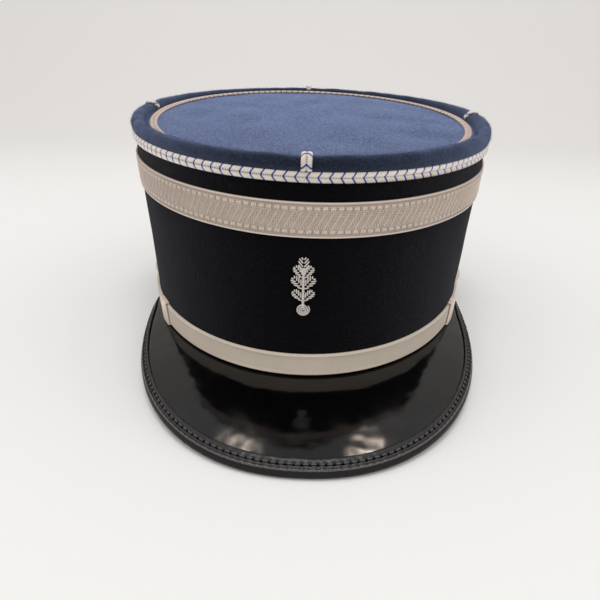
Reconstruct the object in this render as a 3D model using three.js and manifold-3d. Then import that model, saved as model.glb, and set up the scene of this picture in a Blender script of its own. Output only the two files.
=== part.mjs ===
// Kepi cap: a tall oval cloth crown with a recessed top, braid trim, a wide lace band,
// an embroidered badge, a lace strap with two slides and two buttons, and a leather
// peak with a bound edge.
//
// Millimetres. The cap is drawn on the plane of its rim (X across, -Y to the front,
// +Z up), then tipped back until the peak and the back of the rim share one floor.
// Angles run round the oval from the middle of the front, positive towards +X.

import * as THREE from "three";
import { mergeVertices } from "three/addons/utils/BufferGeometryUtils.js";
import Module from "manifold-3d";

const wasm = await Module();
wasm.setup();

// ---- Driving dimensions -----------------------------------------------------------

const GAP = 0.3; // left between pieces that touch
const STATIONS = 72; // sections round a full oval
const DEGREE = Math.PI / 180;

// The two ovals that the body's outer face runs between.
const RIM = { halfWidth: 86.1, halfLength: 101.4, centreY: 0, backTaper: 0 };
const BROW = { halfWidth: 91.9, halfLength: 98.2, centreY: -3.8, backTaper: 0.037 };
// The plane of the upper oval: its height at the middle, and its rise per mm.
const BROW_PLANE = { height: 97.8, riseToBack: 0.133, riseToRight: -0.019 };

const WALL = 2.8; // body cloth and its stiffening
const BODY_OVER_BROW = 0.6; // the body's top edge, above the upper oval

// Crown top: heights over the plane of the upper oval, offsets out from the oval.
// Both the roll's crest and the disc rise a little from one end to the other.
const ROLL = { outer: 1.0, ridge: -1.6, inner: -5.3, seat: 1.0, shoulder: 4.0, waist: 6.0 };
const CREST = { middle: 9.9, riseToBack: 0.7, riseToRight: 0.8 };
const DISC = { middle: 5.6, riseToBack: 2.9, riseToRight: 0.4, thickness: 2.4 };
const ROLL_STEPS = 8;

const BRAID = { width: 3.8, thickness: 1.2, groove: 0.35 };
const RING_BRAID_OFFSET = -7.3; // outer edge of the braid that lies on the disc
const TABS = [
  { name: "tab_front", angle: 0 },
  { name: "tab_rear", angle: -178 },
  { name: "tab_left", angle: -95 },
  { name: "tab_right", angle: 96 },
];

const GALON = { below: 7.2, width: 13.7, thickness: 0.8 };
const STRAP = { frontHeight: 1.8, rise: 10.7, width: 10.2, thickness: 1.3, endAngle: 89 };
const SLIDE = { length: 7.5, wall: 0.7, bottomLip: 0.35, slant: 0.12 };
const SLIDES = [
  { name: "strap_slide_left", angle: -53.5 },
  { name: "strap_slide_right", angle: 59.5 },
];
const BUTTON = { radius: 6, rimHeight: 1.2, domeHeight: 4.2 };
const BUTTONS = [
  { name: "side_button_left", angle: -86 },
  { name: "side_button_right", angle: 86 },
];

// Peak: its outer edge is a rounded oval in a plane that falls to the front.
const PEAK = {
  halfWidth: 84.3,
  length: 112,
  centreX: 1.6,
  centreY: -38,
  roundness: 2.2,
  frontDrop: 9.7,
  fall: 0.13,
  thickness: 1.8,
  crown: 0.1,
  underStrap: 0.7,
  innerEndAngle: 75,
  outerEndAngle: 95,
};
const BINDING = { width: 6.6, leather: 0.7, nose: 1.6 };

const BADGE = { foot: 33.5, height: 24, leafLength: 8.2, leafWidth: 2.7, thickness: 1.4 };

// ---- Colours ----------------------------------------------------------------------

const finish = (color, roughness, metalness = 0) =>
  new THREE.MeshStandardMaterial({ color, roughness, metalness });
const NAVY_WOOL = finish(0x15151c, 0.95);
const BLUE_WOOL = finish(0x4a587c, 0.95);
const SILVER_BRAID = finish(0xb5ad9f, 0.6);
const SILVER_LACE = finish(0xaca08f, 0.6);
const SILVER_THREAD = finish(0xc4baac, 0.45, 0.3);
const BUTTON_METAL = finish(0xb3a68c, 0.35, 0.9);
const PATENT = finish(0x070708, 0.08);
const EDGE_LEATHER = finish(0x131211, 0.4);

// ---- The ovals and the frames on them ---------------------------------------------

const vector = (x, y, z) => new THREE.Vector3(x, y, z);
const angles = (from, to, steps) =>
  Array.from({ length: steps + 1 }, (_, i) => from + ((to - from) * i) / steps);

function ovalPoint(oval, angle) {
  const along = -oval.halfLength * Math.cos(angle);
  const taper = 1 + (oval.backTaper * along) / oval.halfLength;
  return [oval.halfWidth * Math.sin(angle) * taper, oval.centreY + along];
}

function rimPoint(angle) {
  const [x, y] = ovalPoint(RIM, angle);
  return vector(x, y, 0);
}

function browPoint(angle) {
  const [x, y] = ovalPoint(BROW, angle);
  const { height, riseToBack, riseToRight } = BROW_PLANE;
  return vector(x, y, height + riseToBack * y + riseToRight * x);
}

// Directions on the body's outer face: up the wall and straight out of it.
function wallFrame(angle) {
  const step = 0.001;
  const foot = rimPoint(angle);
  const head = browPoint(angle);
  const along = rimPoint(angle + step).sub(rimPoint(angle - step));
  along.add(browPoint(angle + step)).sub(browPoint(angle - step));
  const up = head.clone().sub(foot).normalize();
  const out = along.cross(up).normalize();
  return { foot, head, up, out };
}

// A place `height` up the wall from the rim, or from the upper oval.
function overRim(angle, out, height) {
  const frame = wallFrame(angle);
  return frame.foot.addScaledVector(frame.up, height).addScaledVector(frame.out, out);
}

function overBrow(angle, out, height) {
  const frame = wallFrame(angle);
  return frame.head.addScaledVector(frame.up, height).addScaledVector(frame.out, out);
}

// A place over an oval's own plane: `out` in that plane, `height` square to it.
function overPlane(pointAt, normal, angle, out, height) {
  const step = 0.001;
  const along = pointAt(angle + step).sub(pointAt(angle - step));
  const outward = along.cross(normal).normalize();
  return pointAt(angle).addScaledVector(outward, out).addScaledVector(normal, height);
}

const rimNormal = vector(0, 0, 1);
const topNormal = vector(-BROW_PLANE.riseToRight, -BROW_PLANE.riseToBack, 1).normalize();
const onRim = (angle, out, height) => overPlane(rimPoint, rimNormal, angle, out, height);
const onTop = (angle, out, height) => overPlane(browPoint, topNormal, angle, out, height);

// ---- Making closed solids ---------------------------------------------------------

function signedVolume(points, triangles) {
  let volume = 0;
  for (const [a, b, c] of triangles) {
    volume += points[a].dot(points[b].clone().cross(points[c]));
  }
  return volume;
}

function solid(points, triangles) {
  const outward = signedVolume(points, triangles) > 0;
  const index = triangles.flatMap(([a, b, c]) => (outward ? [a, b, c] : [a, c, b]));
  const geometry = new THREE.BufferGeometry();
  geometry.setAttribute(
    "position",
    new THREE.Float32BufferAttribute(points.flatMap((p) => p.toArray()), 3),
  );
  geometry.setIndex(index);
  geometry.computeVertexNormals();
  return geometry;
}

function stitchRows(first, second, size, triangles) {
  for (let i = 0; i < size; i += 1) {
    const next = (i + 1) % size;
    triangles.push([first + i, second + i, second + next]);
    triangles.push([first + i, second + next, first + next]);
  }
}

// Sweeps a closed section through a list of stations. `sectionAt` gives the section's
// [across, up] points there, and `place` puts one of them in space.
function sweep(stations, closed, sectionAt, place) {
  const sections = stations.map(sectionAt);
  const size = sections[0].length;
  const points = stations.flatMap((station, i) =>
    sections[i].map(([across, up]) => place(station, across, up)),
  );
  const triangles = [];
  for (let i = 0; i + 1 < stations.length; i += 1) {
    stitchRows(i * size, (i + 1) * size, size, triangles);
  }
  const last = (stations.length - 1) * size;
  if (closed) {
    stitchRows(last, 0, size, triangles);
  } else {
    const outline = sections[0].map(([across, up]) => new THREE.Vector2(across, up));
    const turn = Math.sign(THREE.ShapeUtils.area(outline));
    for (const face of THREE.ShapeUtils.triangulateShape(outline, [])) {
      const faceTurn = Math.sign(THREE.ShapeUtils.area(face.map((k) => outline[k])));
      const [p, q, r] = faceTurn === turn ? face : [...face].reverse();
      triangles.push([p, q, r]);
      triangles.push([last + p, last + r, last + q]);
    }
  }
  return solid(points, triangles);
}

const fullTurn = angles(0, 2 * Math.PI, STATIONS).slice(0, -1);

// ---- Crown ------------------------------------------------------------------------

// The body: a wall with a flat rim below and a flat edge under the crown top.
function crownBody() {
  const chamfer = 0.5;
  const corners = [
    [onRim, -chamfer, 0],
    [onRim, 0, chamfer],
    [onTop, 0, BODY_OVER_BROW],
    [onTop, -WALL, BODY_OVER_BROW],
    [onRim, -WALL, chamfer],
    [onRim, -WALL + chamfer, 0],
  ];
  const section = corners.map((_, corner) => [corner, 0]);
  const place = (angle, corner) => {
    const [onPlane, out, height] = corners[corner];
    return onPlane(angle, out, height);
  };
  return sweep(fullTurn, true, () => section, place);
}

// How high a gently tilted surface stands at a place on the oval, or inside it.
function tiltedHeight(surface, angle, out = 0) {
  const toBack = -surface.riseToBack * Math.cos(angle);
  const toRight = surface.riseToRight * Math.sin(angle);
  return surface.middle + (toBack + toRight) * (1 + out / BROW.halfLength);
}

// The roll's skin in section, from its shoulder over the ridge to the disc, `lift` mm
// proud of the cloth. The last point is the foot of its inner side.
function rollProfile(angle, lift = 0) {
  const rise = tiltedHeight(CREST, angle) - ROLL.waist;
  const disc = tiltedHeight(DISC, angle, ROLL.inner);
  const start = -Math.asin((ROLL.waist - ROLL.shoulder) / rise);
  const step = 0.35; // the inner side's least height over the disc
  const share = Math.max((disc + step - ROLL.waist) / rise, 0);
  const end = Math.PI - Math.asin(share);
  const skin = angles(start, end, ROLL_STEPS).map((turn) => {
    const reach = Math.cos(turn) > 0 ? ROLL.outer - ROLL.ridge : ROLL.ridge - ROLL.inner;
    const out = ROLL.ridge + (reach + lift) * Math.cos(turn);
    return [out, ROLL.waist + (rise + lift) * Math.sin(turn)];
  });
  const [lastOut] = skin[skin.length - 1];
  return [...skin, [lastOut - 0.1, disc]];
}

function crownTop() {
  const profileAt = (angle) => {
    const under = tiltedHeight(DISC, angle, ROLL.inner) - DISC.thickness;
    return [
      [ROLL.inner - 0.7, under],
      [ROLL.inner + 1.2, Math.max(under + 0.3, ROLL.seat)],
      [-GAP, ROLL.seat],
      [-GAP, ROLL.shoulder - 0.1],
      ...rollProfile(angle),
    ];
  };
  const size = profileAt(0).length;
  const profiles = fullTurn.map(profileAt);
  const points = [];
  for (let i = 0; i < size; i += 1) {
    fullTurn.forEach((angle, k) => points.push(onTop(angle, ...profiles[k][i])));
  }
  const triangles = [];
  for (let i = 0; i + 1 < size; i += 1) {
    stitchRows(i * STATIONS, (i + 1) * STATIONS, STATIONS, triangles);
  }
  const centre = browPoint(0).add(browPoint(Math.PI)).multiplyScalar(0.5);
  const over = (height) => centre.clone().addScaledVector(topNormal, height);
  const bottomPole = points.push(over(DISC.middle - DISC.thickness)) - 1;
  const topPole = points.push(over(DISC.middle)) - 1;
  const last = (size - 1) * STATIONS;
  for (let i = 0; i < STATIONS; i += 1) {
    const next = (i + 1) % STATIONS;
    triangles.push([bottomPole, i, next]);
    triangles.push([topPole, last + next, last + i]);
  }
  return solid(points, triangles);
}

// ---- Braid and lace ---------------------------------------------------------------

// Two rounded lobes with a groove between them; the flat back lies on the cap.
function braidSection(backing) {
  const { width, thickness, groove } = BRAID;
  const face = backing + thickness;
  return [
    [backing, 0],
    [backing + thickness * 0.6, 0],
    [face, width * 0.25],
    [face - groove, width * 0.5],
    [face, width * 0.75],
    [backing + thickness * 0.6, width],
    [backing, width],
  ];
}

const edgeBraid = () => sweep(fullTurn, true, () => braidSection(GAP), onTop);

function topRingBraid() {
  const section = braidSection(GAP);
  const place = (angle, lift, across) => {
    const out = RING_BRAID_OFFSET - across;
    return onTop(angle, out, tiltedHeight(DISC, angle, out) + lift);
  };
  return sweep(fullTurn, true, () => section, place);
}

// A short braid from the edge braid over the roll and down to the disc.
function tab(middleDegrees) {
  const middle = middleDegrees * DEGREE;
  const radius = onTop(middle, 0, 0).distanceTo(onTop(middle + 0.01, 0, 0)) / 0.01;
  const section = braidSection(GAP);
  const stations = angles(1, ROLL_STEPS, ROLL_STEPS - 1);
  const place = (station, lift, across) => {
    const [out, height] = rollProfile(middle, lift)[station];
    return onTop(middle + (across - BRAID.width / 2) / radius, out, height);
  };
  return sweep(stations, false, () => section, place);
}

function galon() {
  const top = -GALON.below;
  const face = GAP + GALON.thickness;
  const section = [
    [GAP, top - GALON.width],
    [face, top - GALON.width],
    [face, top],
    [GAP, top],
  ];
  return sweep(fullTurn, true, () => section, overBrow);
}

// ---- Badge ------------------------------------------------------------------------

function toManifold(geometry) {
  const bare = geometry.clone();
  bare.deleteAttribute("normal");
  bare.deleteAttribute("uv");
  const merged = mergeVertices(bare, 1e-4);
  return new wasm.Manifold(
    new wasm.Mesh({
      numProp: 3,
      vertProperties: new Float32Array(merged.attributes.position.array),
      triVerts: new Uint32Array(merged.index.array),
    }),
  );
}

function fromManifold(manifold) {
  const mesh = manifold.getMesh();
  const geometry = new THREE.BufferGeometry();
  const positions = new THREE.Float32BufferAttribute(mesh.vertProperties, 3);
  geometry.setAttribute("position", positions);
  geometry.setIndex(Array.from(mesh.triVerts));
  geometry.computeVertexNormals();
  return geometry;
}

// A flattened pad of thread: a leaf when it is long, a rosette when it is round.
function pad(length, width, x, y, lean) {
  const geometry = new THREE.IcosahedronGeometry(1, 1);
  geometry.scale(width / 2, length / 2, BADGE.thickness / 2);
  geometry.translate(0, length / 2, 0);
  geometry.rotateZ(-lean);
  geometry.translate(x, y, 0);
  return toManifold(geometry);
}

// A sprig: a stem with three pairs of leaves and one at the tip, over a rosette.
function sprig() {
  const { height, leafLength, leafWidth } = BADGE;
  const leaves = [
    { rise: 0.2, lean: 40, size: 0.8 },
    { rise: 0.38, lean: 34, size: 0.95 },
    { rise: 0.56, lean: 28, size: 0.85 },
  ];
  let whole = pad(height * 0.78, 1.2, 0, 0, 0);
  whole = whole.add(pad(6, 6, 0, -3.2, 0));
  whole = whole.add(pad(leafLength, leafWidth, 0, height * 0.62, 0));
  for (const { rise, lean, size } of leaves) {
    for (const side of [-1, 1]) {
      const leaf = pad(leafLength * size, leafWidth * size, 0, height * rise, side * lean * DEGREE);
      whole = whole.add(leaf);
    }
  }
  return fromManifold(whole);
}

// ---- Strap, slides and buttons ----------------------------------------------------

const strapFoot = (angle) => STRAP.frontHeight + STRAP.rise * (1 - Math.cos(angle));

function chinStrap() {
  const end = STRAP.endAngle * DEGREE;
  const face = GAP + STRAP.thickness;
  const bevel = 0.35;
  const section = [
    [GAP, 0],
    [face - bevel, 0],
    [face, bevel],
    [face, STRAP.width - bevel],
    [face - bevel, STRAP.width],
    [GAP, STRAP.width],
  ];
  const place = (angle, out, up) => overRim(angle, out, strapFoot(angle) + up);
  return sweep(angles(-end, end, 48), false, () => section, place);
}

// A loop of lace that hugs the strap's face and both its edges.
function strapSlide(middleDegrees) {
  const middle = middleDegrees * DEGREE;
  const radius = rimPoint(middle).distanceTo(rimPoint(middle + 0.01)) / 0.01;
  const inside = GAP + STRAP.thickness + GAP;
  const face = inside + SLIDE.wall;
  const low = -GAP / 2;
  const high = STRAP.width + GAP;
  const section = [
    [GAP, low - SLIDE.bottomLip],
    [face - 0.3, low - SLIDE.bottomLip],
    [face, low],
    [face, high],
    [face - 0.3, high + SLIDE.wall],
    [GAP, high + SLIDE.wall],
    [GAP, high],
    [inside, high],
    [inside, low],
    [GAP, low],
  ];
  const half = SLIDE.length / 2 / radius;
  const place = (angle, out, up) => {
    const slanted = angle + (Math.sign(middle) * SLIDE.slant * (up - STRAP.width / 2)) / radius;
    return overRim(slanted, out, strapFoot(slanted) + up);
  };
  return sweep(angles(middle - half, middle + half, 3), false, () => section, place);
}

// A domed button: a flat back, a thin rim and a low dome.
function buttonDome() {
  const { radius, rimHeight, domeHeight } = BUTTON;
  const dome = angles(0, Math.PI / 2, 5).map((turn) => {
    const inner = radius - 0.6;
    const height = rimHeight + (domeHeight - rimHeight) * Math.sin(turn);
    return new THREE.Vector2(Math.max(inner * Math.cos(turn), 0), height);
  });
  const profile = [
    new THREE.Vector2(0, 0),
    new THREE.Vector2(radius, 0),
    new THREE.Vector2(radius, rimHeight),
    ...dome,
  ];
  profile[profile.length - 1].x = 0;
  return new THREE.LatheGeometry(profile, 24);
}

// ---- Peak -------------------------------------------------------------------------

const power = (value, exponent) => Math.sign(value) * Math.abs(value) ** exponent;

// The peak's outer edge, at a share from -1 to 1 of the way from end to end.
function peakEdge(share) {
  const turn = share * PEAK.outerEndAngle * DEGREE;
  const exponent = 2 / PEAK.roundness;
  const x = PEAK.centreX + PEAK.halfWidth * power(Math.sin(turn), exponent);
  const y = PEAK.centreY - PEAK.length * power(Math.cos(turn), exponent);
  const back = y - (PEAK.centreY - PEAK.length);
  return vector(x, y, -PEAK.frontDrop + PEAK.fall * back);
}

// The line where the peak's middle layer meets the body, just under the strap.
function peakRoot(share) {
  const angle = share * PEAK.innerEndAngle * DEGREE;
  const height = strapFoot(angle) - PEAK.underStrap - PEAK.thickness / 2;
  return overRim(angle, GAP, height);
}

function peakFrame(share) {
  const step = 0.002;
  const edge = peakEdge(share);
  const root = peakRoot(share);
  const reach = root.distanceTo(edge);
  const inward = root.sub(edge).normalize();
  const along = peakEdge(share + step).sub(peakEdge(share - step));
  const up = along.cross(inward).negate().normalize();
  if (up.z < 0) up.negate();
  return { edge, reach, inward, up };
}

// A place on the peak: mm in from the outer edge, and mm over its middle layer.
function onPeak(share, inset, lift) {
  const { edge, reach, inward, up } = peakFrame(share);
  const swell = PEAK.crown * reach * (inset / reach) * (1 - inset / reach);
  return edge.addScaledVector(inward, inset).addScaledVector(up, lift + swell);
}

const peakShares = angles(-1, 1, 44);

// How far the binding reaches in: its full width, or less where the peak is narrow.
const bindingReach = (share) => Math.min(BINDING.width, 0.55 * peakFrame(share).reach);

function peak() {
  const half = PEAK.thickness / 2;
  const outset = BINDING.leather + GAP;
  const section = (share) => {
    const { reach } = peakFrame(share);
    const insets = [0, 0.25, 0.5, 0.75, 1].map((part) => outset + (reach - GAP - outset) * part);
    const topFace = insets.map((inset) => [inset, half]);
    const bottomFace = insets.map((inset) => [inset, -half]).reverse();
    return [...topFace, ...bottomFace];
  };
  return sweep(peakShares, false, section, onPeak);
}

function peakBinding() {
  const inner = PEAK.thickness / 2 + GAP;
  const outer = inner + BINDING.leather;
  const section = (share) => {
    const reach = bindingReach(share);
    const nose = Math.min(BINDING.nose, 0.6 * reach);
    const side = [
      [reach, outer],
      [nose, outer],
      [nose * 0.3, outer * 0.75],
    ];
    const channel = [
      [reach, -inner],
      [BINDING.leather, -inner],
      [BINDING.leather, inner],
      [reach, inner],
    ];
    const under = side.map(([inset, lift]) => [inset, -lift]).reverse();
    return [...side, [0, 0], ...under, ...channel];
  };
  return sweep(peakShares, false, section, onPeak);
}

// ---- The cap ----------------------------------------------------------------------

const cap = new THREE.Group();

function addPiece(name, geometry, material) {
  const mesh = new THREE.Mesh(geometry, material);
  mesh.name = name;
  cap.add(mesh);
  return mesh;
}

// Stands a flat-backed piece on the body's face: its local axes become across the
// face, up the wall and out of it.
function standOnWall(mesh, angle, height, out) {
  const frame = wallFrame(angle);
  const across = frame.up.clone().cross(frame.out).normalize();
  mesh.quaternion.setFromRotationMatrix(
    new THREE.Matrix4().makeBasis(across, frame.up, frame.out),
  );
  mesh.position.copy(overRim(angle, out, height));
}

addPiece("crown_body", crownBody(), NAVY_WOOL);
addPiece("crown_top", crownTop(), BLUE_WOOL);
addPiece("edge_braid", edgeBraid(), SILVER_BRAID);
addPiece("top_ring_braid", topRingBraid(), SILVER_BRAID);
for (const { name, angle } of TABS) {
  addPiece(name, tab(angle), SILVER_BRAID);
}
addPiece("galon", galon(), SILVER_LACE);

const badgeMesh = addPiece("front_badge", sprig(), SILVER_THREAD);
standOnWall(badgeMesh, 0, BADGE.foot, GAP + 0.15 + BADGE.thickness / 2);

addPiece("chin_strap", chinStrap(), SILVER_LACE);
for (const { name, angle } of SLIDES) {
  addPiece(name, strapSlide(angle), SILVER_LACE);
}
for (const { name, angle } of BUTTONS) {
  const geometry = buttonDome().rotateX(Math.PI / 2);
  const turned = angle * DEGREE;
  const height = strapFoot(turned) + STRAP.width / 2;
  standOnWall(addPiece(name, geometry, BUTTON_METAL), turned, height, 2 * GAP + STRAP.thickness);
}

addPiece("peak", peak(), PATENT);
addPiece("peak_binding", peakBinding(), EDGE_LEATHER);

// At rest the cap leans back on the peak's front edge and the back of its rim.
const frontContact = onPeak(0, BINDING.nose, -(PEAK.thickness / 2 + GAP + BINDING.leather));
const backContact = rimPoint(Math.PI);
const restTilt = Math.atan2(-frontContact.z, backContact.y - frontContact.y);
cap.rotation.x = -restTilt;
cap.updateMatrixWorld(true);
const box = new THREE.Box3().setFromObject(cap, true);
const middle = box.getCenter(vector(0, 0, 0));
cap.position.set(-middle.x, -middle.y, -box.min.z);

const group = new THREE.Group();
group.add(cap);

export default group;
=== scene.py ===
"""The looks of the kepi cap: felted wool, braid, lace, raised thread, buttons and patent leather.

Lengths are millimetres until a mesh is made. The cap is drawn on the plane of its rim (X across,
-Y to the front, +Z up) and then leaned back onto the floor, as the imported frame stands.
"""

import logging
import math
from collections.abc import Callable, Iterable
from dataclasses import dataclass, replace
from enum import Enum

import bmesh
import bpy
import numpy as np
from mathutils import Matrix, Vector


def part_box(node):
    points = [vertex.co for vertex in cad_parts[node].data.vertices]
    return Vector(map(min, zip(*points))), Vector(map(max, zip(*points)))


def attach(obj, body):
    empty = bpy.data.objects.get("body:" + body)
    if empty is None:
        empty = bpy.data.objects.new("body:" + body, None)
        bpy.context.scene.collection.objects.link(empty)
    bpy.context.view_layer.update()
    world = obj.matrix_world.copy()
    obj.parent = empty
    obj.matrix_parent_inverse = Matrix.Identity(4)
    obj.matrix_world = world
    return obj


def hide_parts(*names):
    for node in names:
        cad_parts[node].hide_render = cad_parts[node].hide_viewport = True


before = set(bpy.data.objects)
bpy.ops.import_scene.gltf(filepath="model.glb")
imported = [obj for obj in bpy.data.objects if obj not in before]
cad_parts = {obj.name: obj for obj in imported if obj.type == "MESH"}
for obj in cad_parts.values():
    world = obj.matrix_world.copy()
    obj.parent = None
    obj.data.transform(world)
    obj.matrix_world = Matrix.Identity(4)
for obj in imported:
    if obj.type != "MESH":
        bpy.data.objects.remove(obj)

log = logging.getLogger("kepi")

MM = 0.001
TURN = 2 * math.pi
MEAN_RADIUS = 95  # turns an angle round the cap into a length
CHART = "Lay"  # the map along and across a piece's threads
CHART_SCALE = 0.01  # units of that map in a millimetre
CHART_ROUND = 600  # millimetres of that map in one turn round the cap
Array = np.ndarray
Measure = Array | float
Colour = tuple[float, float, float]
Line = Callable[[Array], Array]
Surface = Callable[[Array, Array, Array], Array]
Node = bpy.types.Node
Tree = bpy.types.NodeTree
Piece = bpy.types.Object
Material = bpy.types.Material
Socket = bpy.types.NodeSocket


class Slot(Enum):
    """The record's material slots."""

    NAVY_WOOL = "navy_wool"
    BLUE_WOOL = "blue_wool"
    BRAID = "silver_braid"
    LACE = "silver_lace"
    THREAD = "silver_thread"
    BUTTON = "button_metal"
    PATENT = "patent_leather"
    EDGE_LEATHER = "edge_leather"


class Side(Enum):
    """A side of the cap, as the sign of X there."""

    LEFT = -1
    RIGHT = 1


class Tab(Enum):
    """A tab over the roll, as the angle of its middle in degrees."""

    FRONT = 0.0
    REAR = -178.0
    LEFT = -95.0
    RIGHT = 96.0


# Small maths


def unit(vectors: Array) -> Array:
    """Returns the vectors at length 1."""
    return vectors / np.linalg.norm(vectors, axis=-1, keepdims=True)


def waves(a: Array, b: Array, size: float, seed: int, count: int = 6) -> Array:
    """Gives a smooth, repeatable unevenness between about -1 and 1.

    Args:
        a: First coordinate, in mm.
        b: Second coordinate, in mm.
        size: Length of the longest waves, in mm.
        seed: Which unevenness it is.
        count: How many waves are added up.

    Returns:
        The sum of the waves at each place.
    """
    draw = np.random.default_rng(seed)
    total = np.zeros(np.broadcast(a, b).shape)
    for _ in range(count):
        heading = draw.uniform(0, TURN)
        length = size * draw.uniform(0.45, 1)
        phase = draw.uniform(0, TURN)
        along = a * math.cos(heading) + b * math.sin(heading)
        total = total + np.sin(along * TURN / length + phase)
    return total / math.sqrt(count * 2)


def bell(distance: Array, width: float) -> Array:
    """Returns 1 at no distance, falling smoothly to 0 past the width."""
    return np.exp(-((distance / width) ** 2))


def heading(point_at: Line, angle: Array, step: float = 0.001) -> Array:
    """Returns the way a line runs at the angles, not yet at length 1."""
    return point_at(angle + step) - point_at(angle - step)


def reach_of(point_at: Line, angle: float, step: float = 0.01) -> float:
    """Returns the millimetres that one radian takes along a line."""
    near = point_at(np.array([angle, angle + step]))
    return float(np.linalg.norm(near[1] - near[0])) / step


def chart_of(run: Array, lane: Array) -> Array:
    """Returns the map of a sheet, from the lengths along it and across it."""
    return np.stack(np.broadcast_arrays(run, lane), -1)


def spread(place: Surface) -> Surface:
    """Lets a surface take lengths, distances and lifts of any shapes that fit together."""
    return lambda along, across, lift: place(*np.broadcast_arrays(along, across, lift))


def quads(of: Array, lead: int = 0) -> Array:
    """Gives the corners of a grid's quads.

    Args:
        of: What the grid holds at each of its points.
        lead: How many axes come before the grid's own two.

    Returns:
        What it holds at each quad's four corners, along a new axis after those two.
    """
    low, high = slice(None, -1), slice(1, None)
    before = (slice(None),) * lead
    ways = ((low, low), (high, low), (high, high), (low, high))
    return np.stack([of[(*before, *way)] for way in ways], lead + 2)


def set_inputs(node: Node, **values: object) -> None:
    """Sets a node's own inputs, which are named with underscores for spaces."""
    for title, value in values.items():
        node.inputs[title.replace("_", " ")].default_value = value


def put(name: str, data: bpy.types.ID) -> Piece:
    """Puts data into the scene.

    Args:
        name: The object's name.
        data: Its mesh, light or camera.

    Returns:
        The new object.
    """
    made = bpy.data.objects.new(name, data)
    bpy.context.scene.collection.objects.link(made)
    return made


# The cap's form


@dataclass(frozen=True)
class Oval:
    """An oval round the cap, with angles from the middle of the front towards +X."""

    half_width: float
    half_length: float
    centre_y: float = 0.0
    back_taper: float = 0.0

    def at(self, angle: Array) -> tuple[Array, Array]:
        """Gives places on the oval.

        Args:
            angle: Angles round it.

        Returns:
            Their X and their Y.
        """
        along = -self.half_length * np.cos(angle)
        taper = 1 + self.back_taper * along / self.half_length
        return self.half_width * np.sin(angle) * taper, self.centre_y + along


@dataclass(frozen=True)
class Tilted:
    """A flat surface over the top's plane, rising a little to the back and to the right."""

    middle: float
    to_back: float
    to_right: float
    half_length: float = 98.2

    def height(self, angle: Array, out: Measure = 0.0) -> Array:
        """Returns the height at the angles, `out` mm out from the upper oval."""
        rise = -self.to_back * np.cos(angle) + self.to_right * np.sin(angle)
        return self.middle + rise * (1 + out / self.half_length)


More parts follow.
